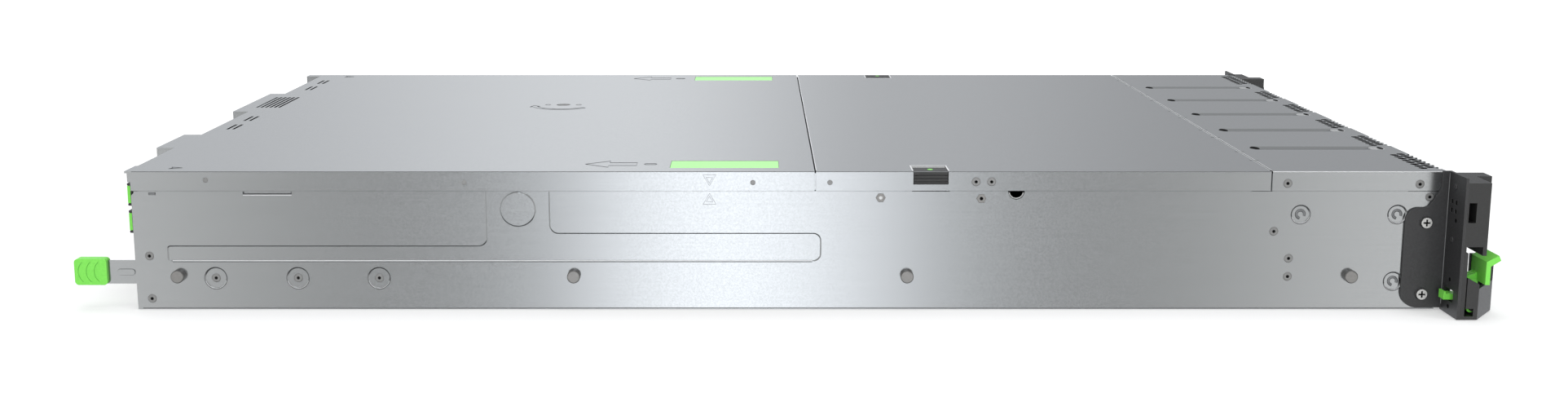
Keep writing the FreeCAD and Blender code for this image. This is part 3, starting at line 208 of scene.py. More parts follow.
# %% World
scene.world = bpy.data.worlds.new("studio")
sky = empty_tree(scene.world)
neutral, cool, matt_light = (1.0, 1.0, 0.99), (0.945, 0.968, 1.0), (0.53, 0.54, 0.55)
strip_wall = ((-0.95, 1.0, neutral), (-0.46, 1.70, neutral), (-0.26, 0.72, neutral), (-0.15, 0.72, neutral),
              (-0.04, 4.7, cool), (0.17, 0.70, neutral), (0.25, 0.72, neutral), (0.44, 1.80, neutral),
              (0.95, 1.0, neutral))
fading_wall = ((-0.36, 0.86, cool), (-0.08, 1.19, cool), (0.10, 0.76, cool), (0.30, 0.58, cool),
               (0.55, 0.58, cool), (0.95, 1.0, cool))
wall_reach, brightest, nearest_depth, side_change = 1.0, 5.0, 0.25, 0.2


def studio_wall(slope, level, stops):
    """The light of one studio wall, eased between stops at slopes to the left and right."""
    ramp = add_node(sky, "ShaderNodeValToRGB", {"Fac": remap(sky, slope, -wall_reach, wall_reach)})
    ramp.color_ramp.interpolation = "EASE"
    elements = ramp.color_ramp.elements
    while len(elements) < len(stops):
        elements.new(1.0)
    for element, (at, brightness, tint) in zip(elements, stops):
        element.position = (at + wall_reach) / (2 * wall_reach)
        element.color = (*(brightness / brightest * channel for channel in tint), 1.0)
    values = {0: ramp.outputs["Color"], "Scale": calculate(sky, "MULTIPLY", level, brightest)}
    return add_node(sky, "ShaderNodeVectorMath", values, operation="SCALE").outputs[0]


direction = add_node(sky, "ShaderNodeTexCoord").outputs["Generated"]
axes = add_node(sky, "ShaderNodeSeparateXYZ", {0: direction}).outputs
depth = calculate(sky, "MAXIMUM", calculate(sky, "ABSOLUTE", axes["Y"], 0.0), nearest_depth)
slope = calculate(sky, "DIVIDE", axes["X"], depth)
upper_glow, lower_glow, ceiling, ground = (
    remap(sky, axes["Z"], low, high, below, above) for low, high, below, above in
    ((0.12, 0.22, 0.82, 1.22), (-0.15, 0.0, 1.5, 0.82), (0.3, 0.7, 1.0, 0.75), (-0.75, -0.45, 0.2, 1.0)))
room_level = calculate(sky, "MULTIPLY", ceiling, ground)
far_level = calculate(sky, "MULTIPLY", calculate(sky, "MAXIMUM", upper_glow, lower_glow), room_level)
far_side = remap(sky, axes["Y"], -side_change, side_change)
near_light = studio_wall(slope, room_level, strip_wall)
far_light = studio_wall(slope, far_level, fading_wall)
sky_path = add_node(sky, "ShaderNodeLightPath").outputs
lit = blend(sky, sky_path["Is Glossy Ray"], matt_light, blend(sky, far_side, near_light, far_light))
backdrop = add_node(sky, "ShaderNodeBackground", {"Color": blend(sky, sky_path["Is Camera Ray"], lit, white)})
add_node(sky, "ShaderNodeOutputWorld", {"Surface": backdrop.outputs[0]})
print("studio walls with", len(strip_wall), "and", len(fading_wall), "stops")

# %% Lamps
lamp_panels = {"overhead_panel": ((0.0, 0.2, 2.2), (0.0, 0.0, 0.0), 2.6, 2.2, 42.0),
               "front_panel": ((2.2, -1.4, 0.9), (0.3, 0.0, 0.0), 1.2, 1.2, 14.0),
               "side_fill": ((-0.6, -2.8, 0.9), (0.0, 0.0, 0.05), 2.6, 1.2, 34.0)}
for name, (place, target, width, height, power) in lamp_panels.items():
    panel = bpy.data.lights.new(name, "AREA")
    panel.shape = "RECTANGLE"
    panel.size = width
    panel.size_y = height
    panel.energy = power
    lamp = bpy.data.objects.new(name, panel)
    lamp.location = place
    lamp.rotation_euler = (Vector(target) - Vector(place)).to_track_quat("-Z", "Y").to_euler()
    lamp.visible_glossy = False
    scene.collection.objects.link(lamp)
print("lamps:", sorted(lamp_panels))

# %% [markdown]
# ## Shared surface effects
# Rolled and zinc-plated sheet is never one flat grey. It has a fine grain, faint streaks along the rolling
# direction and slow cloudy patches where the plating is a little duller. Bent and cut edges are painted
# brighter, partly as burnish and partly as a painted highlight. Both effects are node groups, so every finish
# below can use them with its own values. The edge effect compares the true normal with one that is rounded
# over a small radius: they differ only near edges, which gives a mask for the painted edge colour, and the
# rounded normal itself makes a sharp modelled edge catch the light.

# %% Grain group
grain_group, grain_in, grain_out = new_group(
    "surface_grain", "ShaderNodeTree",
    [("Vector", "Vector", None), ("Streak", "Vector", (1.0, 1.0, 1.0)), ("Fine Scale", "Float", 900.0),
     ("Patch Scale", "Float", 12.0)],
    [("Fine", "Float"), ("Streaks", "Float"), ("Patches", "Float")])
grain_place = grain_in["Vector"]
stretched = add_node(grain_group, "ShaderNodeVectorMath", {0: grain_place, 1: grain_in["Streak"]},
                     operation="MULTIPLY").outputs[0]
noises = {"Fine": {"Vector": grain_place, "Scale": grain_in["Fine Scale"], "Detail": 3.0, "Roughness": 0.6},
          "Streaks": {"Vector": stretched, "Scale": 700.0, "Detail": 4.0, "Roughness": 0.65},
          "Patches": {"Vector": grain_place, "Scale": grain_in["Patch Scale"], "Detail": 2.0}}
for effect, values in noises.items():
    noise = add_node(grain_group, "ShaderNodeTexNoise", values)
    wire(grain_group, noise.outputs["Fac"], grain_out[effect])

# %% Edge group
edge_group, edge_in, edge_out = new_group(
    "rounded_edges", "ShaderNodeTree", [("Radius", "Float", 0.0004)],
    [("Edge", "Float"), ("Normal", "Vector")])
flat_from, edge_from = 0.98, 0.75
rounded = add_node(edge_group, "ShaderNodeBevel", {"Radius": edge_in["Radius"]}, samples=4).outputs["Normal"]
true_normal = add_node(edge_group, "ShaderNodeNewGeometry").outputs["Normal"]
agreement = add_node(edge_group, "ShaderNodeVectorMath", {0: rounded, 1: true_normal},
                     operation="DOT_PRODUCT").outputs["Value"]
wire(edge_group, remap(edge_group, agreement, flat_from, edge_from), edge_out["Edge"])
wire(edge_group, rounded, edge_out["Normal"])
print("shader groups:", grain_group.name, edge_group.name)

# %% [markdown]
# ## Finishes
# One function makes every solid finish from a dark and a light tone, a range of roughness and a grain. Steel,
# plating and aluminium are full metals. Powder coat and mouldings are not: their grain is a fine texture that
# breaks up the highlight, and their edges are painted a little paler, as rubbing and as a painted highlight.
# A drive is an aluminium case behind a black moulded bezel and both are one part in the frame, so a finish
# may also change from one look to another at a place on one axis.

# %% A solid finish
plain_look = {"streak": (1.0, 1.0, 1.0), "fine": 900.0, "patch": 12.0, "edge_radius": 0.4 * MM, "cloud": 0.4,
              "rub": 0.5, "bump": 0.15, "metallic": 0.0, "specular": 0.5}
noise_low, noise_high, grain_height = 0.3, 0.7, 0.1 * MM


def start_material(name, **constants):
    """A material with one Principled shader. Returns it, its tree, the shader's sockets and coordinates."""
    material = bpy.data.materials.new(name)
    tree = empty_tree(material)
    shader = add_node(tree, "ShaderNodeBsdfPrincipled", constants)
    add_node(tree, "ShaderNodeOutputMaterial", {"Surface": shader.outputs[0]})
    return material, tree, shader.inputs, add_node(tree, "ShaderNodeTexCoord").outputs["Object"]


def full_look(dark, light, rim, roughness, **values):
    """A look with plain values for what isn't given. A tone is a colour or one level of grey."""
    tones = {key: tone if isinstance(tone, tuple) else (tone, tone, tone)
             for key, tone in (("dark", dark), ("light", light), ("rim", rim))}
    return {**plain_look, **tones, "roughness": roughness, **values}


def grained(tree, place, look):
    """The colour, roughness and normal of a grained solid, with edges painted paler as burnish and as a
    painted highlight.
    """
    scales = {"Streak": look["streak"], "Fine Scale": look["fine"], "Patch Scale": look["patch"]}
    grain = add_node(tree, "ShaderNodeGroup", {"Vector": place, **scales}, node_tree=grain_group).outputs
    edges = add_node(tree, "ShaderNodeGroup", {"Radius": look["edge_radius"]}, node_tree=edge_group).outputs
    body = blend(tree, remap(tree, grain["Streaks"], noise_low, noise_high), look["dark"], look["light"])
    cloud = remap(tree, grain["Patches"], noise_low, noise_high, 0.0, look["cloud"])
    # Edges blend towards the edge tone: partly burnish, partly a painted highlight.
    rim = remap(tree, edges["Edge"], 0.0, 1.0, 0.0, look["rub"])
    colour = blend(tree, rim, blend(tree, cloud, body, look["dark"]), look["rim"])
    roughness = remap(tree, grain["Fine"], noise_low, noise_high, *look["roughness"])
    bump = add_node(tree, "ShaderNodeBump", {"Strength": look["bump"], "Distance": grain_height,
                                             "Height": grain["Fine"], "Normal": edges["Normal"]})
    return colour, roughness, bump.outputs["Normal"]


def dress(tree, shader, values):
    """Wires a surface's values to the sockets of its shader."""
    for key, value in values.items():
        wire(tree, value, shader[key])


def solid_finish(name, look):
    """A finish with one look all over."""
    material, tree, shader, place = start_material(name, Metallic=look["metallic"])
    colour, roughness, normal = grained(tree, place, look)
    dress(tree, shader, {"Base Color": colour, "Roughness": roughness, "Normal": normal,
                         "Specular IOR Level": look["specular"]})
    return material


def metal(name, *tones, **values):
    """A finish of bare or plated metal."""
    return solid_finish(name, full_look(*tones, metallic=1.0, **values))


def coating(name, *tones, **values):
    """A finish of paint or plastic."""
    return solid_finish(name, full_look(*tones, **values))


def two_tone(name, axis, change_at, low, high):
    """A finish that is one look below a place on an axis and another look above it."""
    material, tree, shader, place = start_material(name)
    position = add_node(tree, "ShaderNodeSeparateXYZ", {0: place}).outputs[axis]
    above = calculate(tree, "GREATER_THAN", position, change_at)
    low_colour, low_roughness, normal = grained(tree, place, low)
    high_colour, high_roughness, _ = grained(tree, place, high)
    dress(tree, shader, {"Base Color": blend(tree, above, low_colour, high_colour),
                         "Roughness": blend(tree, above, low_roughness, high_roughness, "FLOAT"),
                         "Metallic": blend(tree, above, low["metallic"], high["metallic"], "FLOAT"),
                         "Normal": normal})
    return material


# %% Metal finishes
crisp = 0.15 * MM
finishes = {
    "zinc_steel": metal("zinc_sheet", (0.286, 0.295, 0.301), (0.296, 0.305, 0.311), (0.62, 0.64, 0.66),
                        (0.17, 0.23), streak=(0.02, 1.0, 1.0), bump=0.015, edge_radius=crisp, rub=0.4),
    "stud_steel": metal("turned_steel", (0.19, 0.186, 0.18), (0.235, 0.23, 0.224), 0.45, (0.34, 0.46),
                        streak=(1.0, 0.2, 1.0)),
    "fin_aluminium": metal("fin_aluminium", (0.62, 0.63, 0.64), (0.74, 0.75, 0.76), 0.9, (0.24, 0.36),
                           streak=(0.04, 1.0, 1.0)),
    "connector_shell": metal("plated_shell", (0.48, 0.48, 0.47), (0.6, 0.6, 0.59), (0.85, 0.85, 0.84),
                             (0.2, 0.32)),
    "bright_plate": metal("bright_plate", (0.62, 0.62, 0.61), (0.74, 0.74, 0.73), 0.95, (0.16, 0.26)),
    "screw_steel": metal("screw_steel", (0.36, 0.36, 0.355), (0.43, 0.43, 0.425), 0.75, (0.24, 0.34),
                         edge_radius=crisp),
    "rivet_steel": metal("rivet_steel", (0.2, 0.2, 0.198), (0.24, 0.24, 0.237), 0.34, (0.36, 0.48),
                         edge_radius=crisp),
    "engraved": metal("engraved_line", (0.13, 0.135, 0.14), (0.17, 0.175, 0.18), 0.2, (0.5, 0.6), rub=0.2),
    # A dark grey for thin strips that are mostly painted shade along bends and rims, a painted highlight on
    # the black ear bracket, and the own grey of small clips and hooks.
    "dark_line_grey": metal("bend_line", (0.17, 0.175, 0.18), (0.2, 0.205, 0.21), 0.22, (0.4, 0.5), rub=0.1),
    "gold": metal("contact_gold", (0.68, 0.47, 0.17), (0.78, 0.56, 0.22), (0.95, 0.8, 0.45), (0.2, 0.3)),
}
print("metals:", sorted(finishes))

# %% Coatings and mouldings
case_look = full_look((0.4, 0.405, 0.41), (0.48, 0.485, 0.49), 0.75, (0.3, 0.42), metallic=1.0)
moulding_look = full_look(0.014, 0.022, 0.1, (0.4, 0.56), fine=1400.0, bump=0.3)
bezel_depth, lens_gloss = 11.0 * MM, (0.1, 0.2)
bezel_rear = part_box("drive_1")[1].x - bezel_depth
finishes.update({
    "case_aluminium": solid_finish("satin_case", case_look),
    "black_plastic": solid_finish("black_moulding", moulding_look),
    "drive": two_tone("drive_case_and_bezel", "X", bezel_rear, case_look, moulding_look),
    # A pale grey for thin strips that are painted highlights along edges, seams, lips and rims.
    "cut_edge": coating("cut_edge", (0.7, 0.71, 0.72), (0.78, 0.79, 0.8), 0.9, (0.3, 0.4), metallic=0.3,
                        rub=0.2),
    "black_steel": coating("black_powder_coat", (0.02, 0.02, 0.021), (0.032, 0.032, 0.033), 0.12, (0.42, 0.6),
                           fine=1800.0, bump=0.35),
    "rotor_plastic": coating("rotor_moulding", (0.035, 0.035, 0.037), (0.05, 0.05, 0.053), 0.12, (0.34, 0.48),
                             fine=700.0),
    "green_plastic": coating("green_moulding", (0.18, 0.68, 0.075), (0.215, 0.755, 0.095), (0.38, 0.86, 0.25),
                             (0.36, 0.5), fine=1100.0, rub=0.35),
    "pad_green": coating("green_pad", (0.36, 0.78, 0.28), (0.42, 0.84, 0.34), (0.5, 0.9, 0.42), (0.5, 0.62),
                         fine=1500.0, rub=0.2),
    # A near-black for discs, blocks and rings that stand for the shade inside holes, slots, vents and
    # hollows: painted shade.
    "dark_hole": coating("shadowed_hole", 0.004, 0.007, 0.01, (0.7, 0.9), rub=0.0, specular=0.05),
    "chip": coating("chip_resin", (0.012, 0.012, 0.013), (0.018, 0.018, 0.019), 0.06, (0.5, 0.65),
                    fine=2200.0),
    "green": coating("lamp_lens_green", (0.05, 0.42, 0.06), (0.08, 0.55, 0.09), (0.3, 0.8, 0.3), lens_gloss),
    "amber": coating("lamp_lens_amber", (0.6, 0.26, 0.02), (0.75, 0.34, 0.03), (0.9, 0.6, 0.2), lens_gloss),
})
print("finishes so far:", len(finishes))

# %% [markdown]
# ## Circuit boards
# A board is a green film over copper. The film is darker where there is no copper under it, so the tracks
# show as slightly paler lanes with square corners. A cell pattern measured along the axes instead of in a
# circle gives such lanes, and a second, finer one adds the small pads. The memory sockets are one part with
# the main board, so above the board's own face its finish turns into the black of a moulding.

# %% Board finish
bare_film, copper_film, solder = (0.007, 0.048, 0.022), (0.012, 0.088, 0.04), (0.34, 0.33, 0.27)
board_gloss, lane_scale, lanes_per_cell, pad_scale, pad_spread = 0.35, 90.0, 14.0, 420.0, 0.35
track_from, track_to, track_bump, track_height = 0.55, 0.65, 0.3, 0.05 * MM
pad_rim, pad_core, pad_shine = 0.16, 0.12, 0.55


def board_finish(name, black_above):
    """A green circuit board up to a height, and black mouldings above it."""
    material, tree, shader, place = start_material(name, Roughness=board_gloss)
    lanes = add_node(tree, "ShaderNodeTexVoronoi", {"Vector": place, "Scale": lane_scale},
                     distance="CHEBYCHEV", feature="F1").outputs["Distance"]
    repeat = calculate(tree, "FRACT", calculate(tree, "MULTIPLY", lanes, lanes_per_cell), 0.0)
    track = remap(tree, repeat, track_from, track_to)
    pad_values = {"Vector": place, "Scale": pad_scale, "Randomness": pad_spread}
    pads = add_node(tree, "ShaderNodeTexVoronoi", pad_values, feature="F1").outputs["Distance"]
    pad = remap(tree, pads, pad_rim, pad_core, 0.0, pad_shine)
    board = blend(tree, pad, blend(tree, track, bare_film, copper_film), solder)
    height = add_node(tree, "ShaderNodeSeparateXYZ", {0: place}).outputs["Z"]
    above = calculate(tree, "GREATER_THAN", height, black_above)
    relief = {"Strength": track_bump, "Distance": track_height, "Height": track}
    bump = add_node(tree, "ShaderNodeBump", relief)
    dress(tree, shader, {"Base Color": blend(tree, above, board, moulding_look["light"]),
                         "Normal": bump.outputs["Normal"]})
    return material


board_top, film_thickness = 9.6, 0.1
finishes["circuit_board"] = board_finish("green_board", cad_high.z)
finishes["main_board"] = board_finish("main_board", (board_top + film_thickness) * MM)
print("finishes in all:", len(finishes))

# %% Hand the finishes to the frame's parts
special = {"motherboard": "main_board", "memory_modules": "circuit_board", "touch_pads": "pad_green",
           "psu_strip_left": "zinc_steel", "psu_strip_right": "zinc_steel"}
for number in range(1, 5):
    special[f"drive_{number}"] = "drive"
    special[f"drive_lever_{number}"] = "black_plastic"
for name, part in nodes.items():
    slot_name = part.data.materials[0].name.split(".")[0]
    for part_slot in part.material_slots:
        part_slot.material = finishes[special.get(name, slot_name)]
print("finished", len(nodes), "parts of the frame")

# %% [markdown]
# ## Small shapes that repeat
# Rivets, screws, rings, chips and pins come in dozens, so each kind is one Geometry Nodes tree. A tree makes
# the shape once, sets a copy on every point and gives all of them one material. The points carry two
# directions, the way a shape faces and the way it lies, and a size. The result is turned into a plain mesh,
# one for each moving body, so nothing is left to evaluate later.

# %% Frame of a shape tree
counted = ("Sides", "Steps")


def shape_tree(title, *sizes):
    """Starts a tree whose inputs are points, a material and named sizes."""
    inputs = [("Geometry", "Geometry", None), ("Material", "Material", None)]
    inputs += [(name, "Int" if name in counted else "Float", None) for name in sizes]
    return new_group(title, "GeometryNodeTree", inputs, [("Geometry", "Geometry")])


def end_in_material(tree, given, result, geometry):
    """Ends a tree with its material."""
    values = {"Geometry": geometry, "Material": given["Material"]}
    wire(tree, add_node(tree, "GeometryNodeSetMaterial", values).outputs[0], result["Geometry"])


def end_on_points(tree, given, result, shape):
    """Ends a tree: copies of a shape on the points, turned and sized by what the points carry."""
    facing, along, size = (
        add_node(tree, "GeometryNodeInputNamedAttribute", {"Name": key},
                 data_type="FLOAT_VECTOR").outputs["Attribute"] for key in ("facing", "along", "size"))
    turn = add_node(tree, "FunctionNodeAxesToRotation", {"Primary Axis": facing, "Secondary Axis": along})
    copies = add_node(tree, "GeometryNodeInstanceOnPoints", {
        "Points": given["Geometry"], "Instance": shape, "Rotation": turn.outputs[0], "Scale": size})
    real = add_node(tree, "GeometryNodeRealizeInstances", {0: copies.outputs[0]})
    end_in_material(tree, given, result, real.outputs[0])


# %% Turned head and rolled ring
head_tree, head_in, head_out = shape_tree("turned_head", "Sides", "Base Radius", "Top Radius", "Rise")
head = add_node(head_tree, "GeometryNodeMeshCone", {
    "Vertices": head_in["Sides"], "Radius Bottom": head_in["Base Radius"],
    "Radius Top": head_in["Top Radius"], "Depth": head_in["Rise"]})
end_on_points(head_tree, head_in, head_out, head.outputs["Mesh"])


def swept(tree, path, radius, sides):
    """A round bead along a path, closed at its ends."""
    bead = add_node(tree, "GeometryNodeCurvePrimitiveCircle", {"Resolution": sides, "Radius": radius})
    values = {"Curve": path, "Profile Curve": bead.outputs["Curve"], "Fill Caps": True}
    return add_node(tree, "GeometryNodeCurveToMesh", values).outputs["Mesh"]


ring_sides, line_sides = 8, 6
ring_tree, ring_in, ring_out = shape_tree("rolled_ring", "Radius", "Bead Radius", "Start", "Sweep", "Steps")
arc = add_node(ring_tree, "GeometryNodeCurveArc", {
    "Radius": ring_in["Radius"], "Start Angle": ring_in["Start"], "Sweep Angle": ring_in["Sweep"],
    "Resolution": ring_in["Steps"]})
ring = swept(ring_tree, arc.outputs["Curve"], ring_in["Bead Radius"], ring_sides)
end_on_points(ring_tree, ring_in, ring_out, ring)

# %% Cross-slotted screw head
screw_tree, screw_in, screw_out = shape_tree("cross_slotted_head", "Sides", "Radius", "Rise", "Slot Depth")
top_share, slot_share, blade_share = 0.86, 1.1, 0.26
top_radius, slot_length, slot_width = (
    calculate(screw_tree, "MULTIPLY", screw_in["Radius"], share)
    for share in (top_share, slot_share, blade_share))
slot_height = calculate(screw_tree, "MULTIPLY", screw_in["Slot Depth"], 2.0)
screw_body = add_node(screw_tree, "GeometryNodeMeshCone", {
    "Vertices": screw_in["Sides"], "Radius Bottom": screw_in["Radius"], "Radius Top": top_radius,
    "Depth": screw_in["Rise"]})
lift = add_node(screw_tree, "ShaderNodeCombineXYZ", {"Z": screw_in["Rise"]})
cross = add_node(screw_tree, "GeometryNodeMeshBoolean", {"Mesh 1": screw_body.outputs["Mesh"]})
for length, width in ((slot_length, slot_width), (slot_width, slot_length)):
    blade_size = add_node(screw_tree, "ShaderNodeCombineXYZ", {"X": length, "Y": width, "Z": slot_height})
    blade = add_node(screw_tree, "GeometryNodeMeshCube", {"Size": blade_size.outputs[0]})
    raised = add_node(screw_tree, "GeometryNodeTransform", {
        "Geometry": blade.outputs["Mesh"], "Translation": lift.outputs[0]})
    wire(screw_tree, raised.outputs[0], cross.inputs["Mesh 2"])
end_on_points(screw_tree, screw_in, screw_out, cross.outputs["Mesh"])

# %% Moulded block and engraved line
block_tree, block_in, block_out = shape_tree("moulded_block", "Taper")
corner_radius = math.sqrt(0.5)
top_corner = calculate(block_tree, "MULTIPLY", block_in["Taper"], corner_radius)
block = add_node(block_tree, "GeometryNodeMeshCone", {
    "Vertices": 4, "Radius Bottom": corner_radius, "Radius Top": top_corner, "Depth": 1.0})
square = add_node(block_tree, "GeometryNodeTransform", {
    "Geometry": block.outputs["Mesh"], "Rotation": (0.0, 0.0, math.pi / 4)})
end_on_points(block_tree, block_in, block_out, square.outputs["Geometry"])
line_tree, line_in, line_out = shape_tree("engraved_line", "Line Radius")
path_curve = add_node(line_tree, "GeometryNodeMeshToCurve", {0: line_in["Geometry"]}).outputs["Curve"]
stroke = swept(line_tree, path_curve, line_in["Line Radius"], line_sides)
end_in_material(line_tree, line_in, line_out, stroke)
print("shape trees:", [t.name for t in (head_tree, ring_tree, screw_tree, block_tree, line_tree)])


def keep_result(piece, body):
    """Keeps what the modifiers make as the piece's own plain mesh and lets it ride a body of the frame."""
    graph = bpy.context.evaluated_depsgraph_get()
    made = bpy.data.meshes.new_from_object(piece.evaluated_get(graph), depsgraph=graph)
    piece.modifiers.clear()
    piece.data = made
    made.name = piece.name
    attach(piece, body)
    print(piece.name, "has", len(made.polygons), "faces on", body)
    return piece


def run_tree(name, body, mesh, tree, finish, sizes):
    """Runs a tree on a mesh with a finish and sizes, and keeps what it makes on a body."""
    piece = bpy.data.objects.new(name, mesh)
    scene.collection.objects.link(piece)
    maker = piece.modifiers.new("shape", "NODES")
    maker.node_group = tree
    values = {"Material": finishes[finish], **sizes}
    for socket in tree.interface.items_tree:
        if socket.name in values:
            maker[socket.identifier] = values[socket.name]
    return keep_result(piece, body)


def grow(name, body, tree, spots, finish, sizes):
    """Copies of a tree's shape on spots."""
    mesh = bpy.data.meshes.new(name)
    mesh.from_pydata([item.place for item in spots], [], [])
    for key in ("facing", "along", "size"):
        values = mesh.attributes.new(key, "FLOAT_VECTOR", "POINT")
        for index, item in enumerate(spots):
            values.data[index].vector = getattr(item, key)
    return run_tree(name, body, mesh, tree, finish, sizes)


# %% Each shape with its sizes in millimetres
def heads(name, body, spots, finish, sides, base, top, rise):
    """Turned heads, from their radius at the base and at the top."""
    return grow(name, body, head_tree, spots, finish, {
        "Sides": sides, "Base Radius": base * MM, "Top Radius": top * MM, "Rise": rise * MM})


def rings(name, body, spots, finish, radius, bead, steps, start=0.0, sweep=360.0):
    """Whole or open rings, with angles in degrees."""
    return grow(name, body, ring_tree, spots, finish, {
        "Radius": radius * MM, "Bead Radius": bead * MM, "Start": math.radians(start),
        "Sweep": math.radians(sweep), "Steps": steps})


def screws(name, body, spots, finish, sides, radius, rise, slot_depth):
    """Screw heads with a cross slot."""
    return grow(name, body, screw_tree, spots, finish, {
        "Sides": sides, "Radius": radius * MM, "Rise": rise * MM, "Slot Depth": slot_depth * MM})


def blocks(name, body, spots, finish, taper=1.0):
    """Blocks whose top is the taper's share of their foot."""
    return grow(name, body, block_tree, spots, finish, {"Taper": taper})


def engrave(name, body, outlines, line_radius=0.16):
    """Thin lines along outlines, each a list of places in millimetres that closes on itself."""
    places, edges = [], []
    for outline in outlines:
        first = len(places)
        places += [Vector(place) * MM for place in outline]
        edges += [(first + k, first + (k + 1) % len(outline)) for k in range(len(outline))]
    mesh = bpy.data.meshes.new(name)
    mesh.from_pydata(places, edges, [])
    return run_tree(name, body, mesh, line_tree, "engraved", {"Line Radius": line_radius * MM})


# %% Spots
Spot = namedtuple("Spot", "place facing along size")
up, ahead, rear = (0.0, 0.0, 1.0), (1.0, 0.0, 0.0), (-1.0, 0.0, 0.0)
to_left, to_right, whole = (0.0, 1.0, 0.0), (0.0, -1.0, 0.0), (1.0, 1.0, 1.0)
both_sides = (("right", -1), ("left", 1))


def spot(place, facing=up, along=ahead, size=whole):
    """A spot from a place in millimetres. Its size is a plain factor."""
    return Spot(Vector(place) * MM, facing, along, size)


def block_spot(place, size, facing=up, along=ahead):
    """A spot for a block, with its place and its size in millimetres."""
    return spot(place, facing, along, Vector(size) * MM)


# %% [markdown]
# ## Side walls
# The side of a real chassis is covered in the marks of its making: rivets that hold the cage and the rails
# inside, pressed-in nuts, spring clips snapped into the key holes and small engraved triangles that show
# where the cover has to line up. Both sides are the same, so each list of places is used twice, once as it is
# and once mirrored. Heights and distances were measured on the photograph's side wall, which has one plain
# scale.

# %% Rivets and nuts
half_width = -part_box("side_wall_right")[0].y / MM
dimple_depth = 0.7
face_rivets = ((-393.0, 33.8), (-393.0, 6.7), (307.0, 79.5), (388.0, 79.0), (394.5, 71.0), (300.0, 49.4),
               (310.0, 32.3), (310.0, 20.8))
dimple_rivets = ((-352.8, 19.7), (-302.0, 19.7), (-251.8, 19.7))
cover_rivets = ((116.1, 80.5), (125.6, 80.5))


def wall_spots(places, depth=0.0, size=whole):
    """Spots on the right wall and the same spots on the left, below the face by a depth."""
    return [spot((x, side * (half_width - depth), z), (0.0, side, 0.0), (-side, 0.0, 0.0), size)
            for x, z in places for side in (-1.0, 1.0)]


rivet_spots = {"chassis": wall_spots(face_rivets) + wall_spots(dimple_rivets, dimple_depth),
               "mid_cover": wall_spots(cover_rivets)}
for body, spots in rivet_spots.items():
    heads(f"rivets_{body}", body, spots, "rivet_steel", sides=20, base=2.75, top=2.45, rise=0.25)
    heads(f"rivet_holes_{body}", body, spots, "dark_hole", sides=12, base=1.05, top=1.0, rise=0.28)
stud_nuts, bored_nuts = wall_spots(((57.8, 70.5),)), wall_spots(((119.6, 70.0),))
heads("press_nuts", "chassis", stud_nuts + bored_nuts, "stud_steel", sides=6, base=3.1, top=2.9, rise=0.22)
heads("press_nut_studs", "chassis", stud_nuts, "screw_steel", sides=14, base=1.3, top=1.1, rise=0.3)
heads("press_nut_bores", "chassis", bored_nuts, "dark_hole", sides=14, base=1.2, top=1.1, rise=0.26)

# %% Spot welds and clips
weld_places = {"rear_cover": ((-355.8, 81.6), (-197.5, 80.0), (-20.6, 80.0)), "mid_cover": ((26.6, 80.0),)}
for body, places in weld_places.items():
    heads(f"spot_welds_{body}", body, wall_spots(places), "rivet_steel", sides=16, base=1.65, top=1.5,
          rise=0.08)
key_dimples, clip_flatness = ((316.0, 60.0), (375.4, 60.0), (375.4, 17.7)), (1.0, 1.0, 0.55)
rings("spring_clips", "chassis", wall_spots(key_dimples, dimple_depth, clip_flatness), "dark_line_grey",
      radius=2.5, bead=0.85, steps=22, start=-25.0, sweep=285.0)
hook_place, hook_size = (-389.0, 73.0), Vector((4.4, 1.6, 0.5)) * MM
blocks("lanced_hooks", "chassis", wall_spots((hook_place,), 0.0, hook_size), "dark_line_grey", taper=0.8)

# %% Alignment triangles
mark_x, mark_slope = -47.2, 0.43


def triangle(height, size, tip, side):
    """A triangle on a side wall. The tip is 1 for upwards and -1 for downwards."""
    foot, point = height - tip * size * mark_slope, height + tip * size * mark_slope
    corners = ((mark_x - size / 2, foot), (mark_x + size / 2, foot), (mark_x, point))
    return [(x, side * half_width, z) for x, z in corners]


for body, height, tip in (("rear_cover", 81.4, -1), ("chassis", 69.8, 1)):
    pairs = [triangle(height, size, tip, side) for side in (-1, 1) for size in (8.0, 4.0)]
    engrave(f"line_up_marks_{body}", body, pairs)

# %% [markdown]
# ## Top of the covers
# The sliding cover is engraved with two arrows that point the way it moves and, around its lock, with a bent
# arrow for the way the lock turns. Such marks are cut or lasered into the plating and show as fine grey
# lines, so they are drawn here as thin strokes that lie half in the surface.

# %% Slide arrows and edge marks
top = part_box("rear_cover")[1].z / MM
arrow_y, arrow_tip, arrow_base, arrow_end, arrow_wing, arrow_shaft = 194.5, -125.5, -110.5, -93.2, 10.0, 4.5
hole_rear, hole_front, hole_radius = -86.9, -82.5, 1.7
edge_y, edge_rear, edge_tip, edge_notch, edge_wing = 206.6, -381.0, -373.6, -379.4, 2.5


def flat_outline(places, y=0.0):
    """An outline on the flat of a cover from X and from distances to a line along the case."""
    return [(x, y + off, top) for x, off in places]


def long_round(rear_x, front_x, radius, steps=6):
    """A long hole's outline between the centres of its half-round ends."""
    turns = [math.pi / 2 + math.pi * k / steps for k in range(steps + 1)]
    return [(x + way * radius * math.cos(turn), way * radius * math.sin(turn))
            for x, way in ((rear_x, 1), (front_x, -1)) for turn in turns]


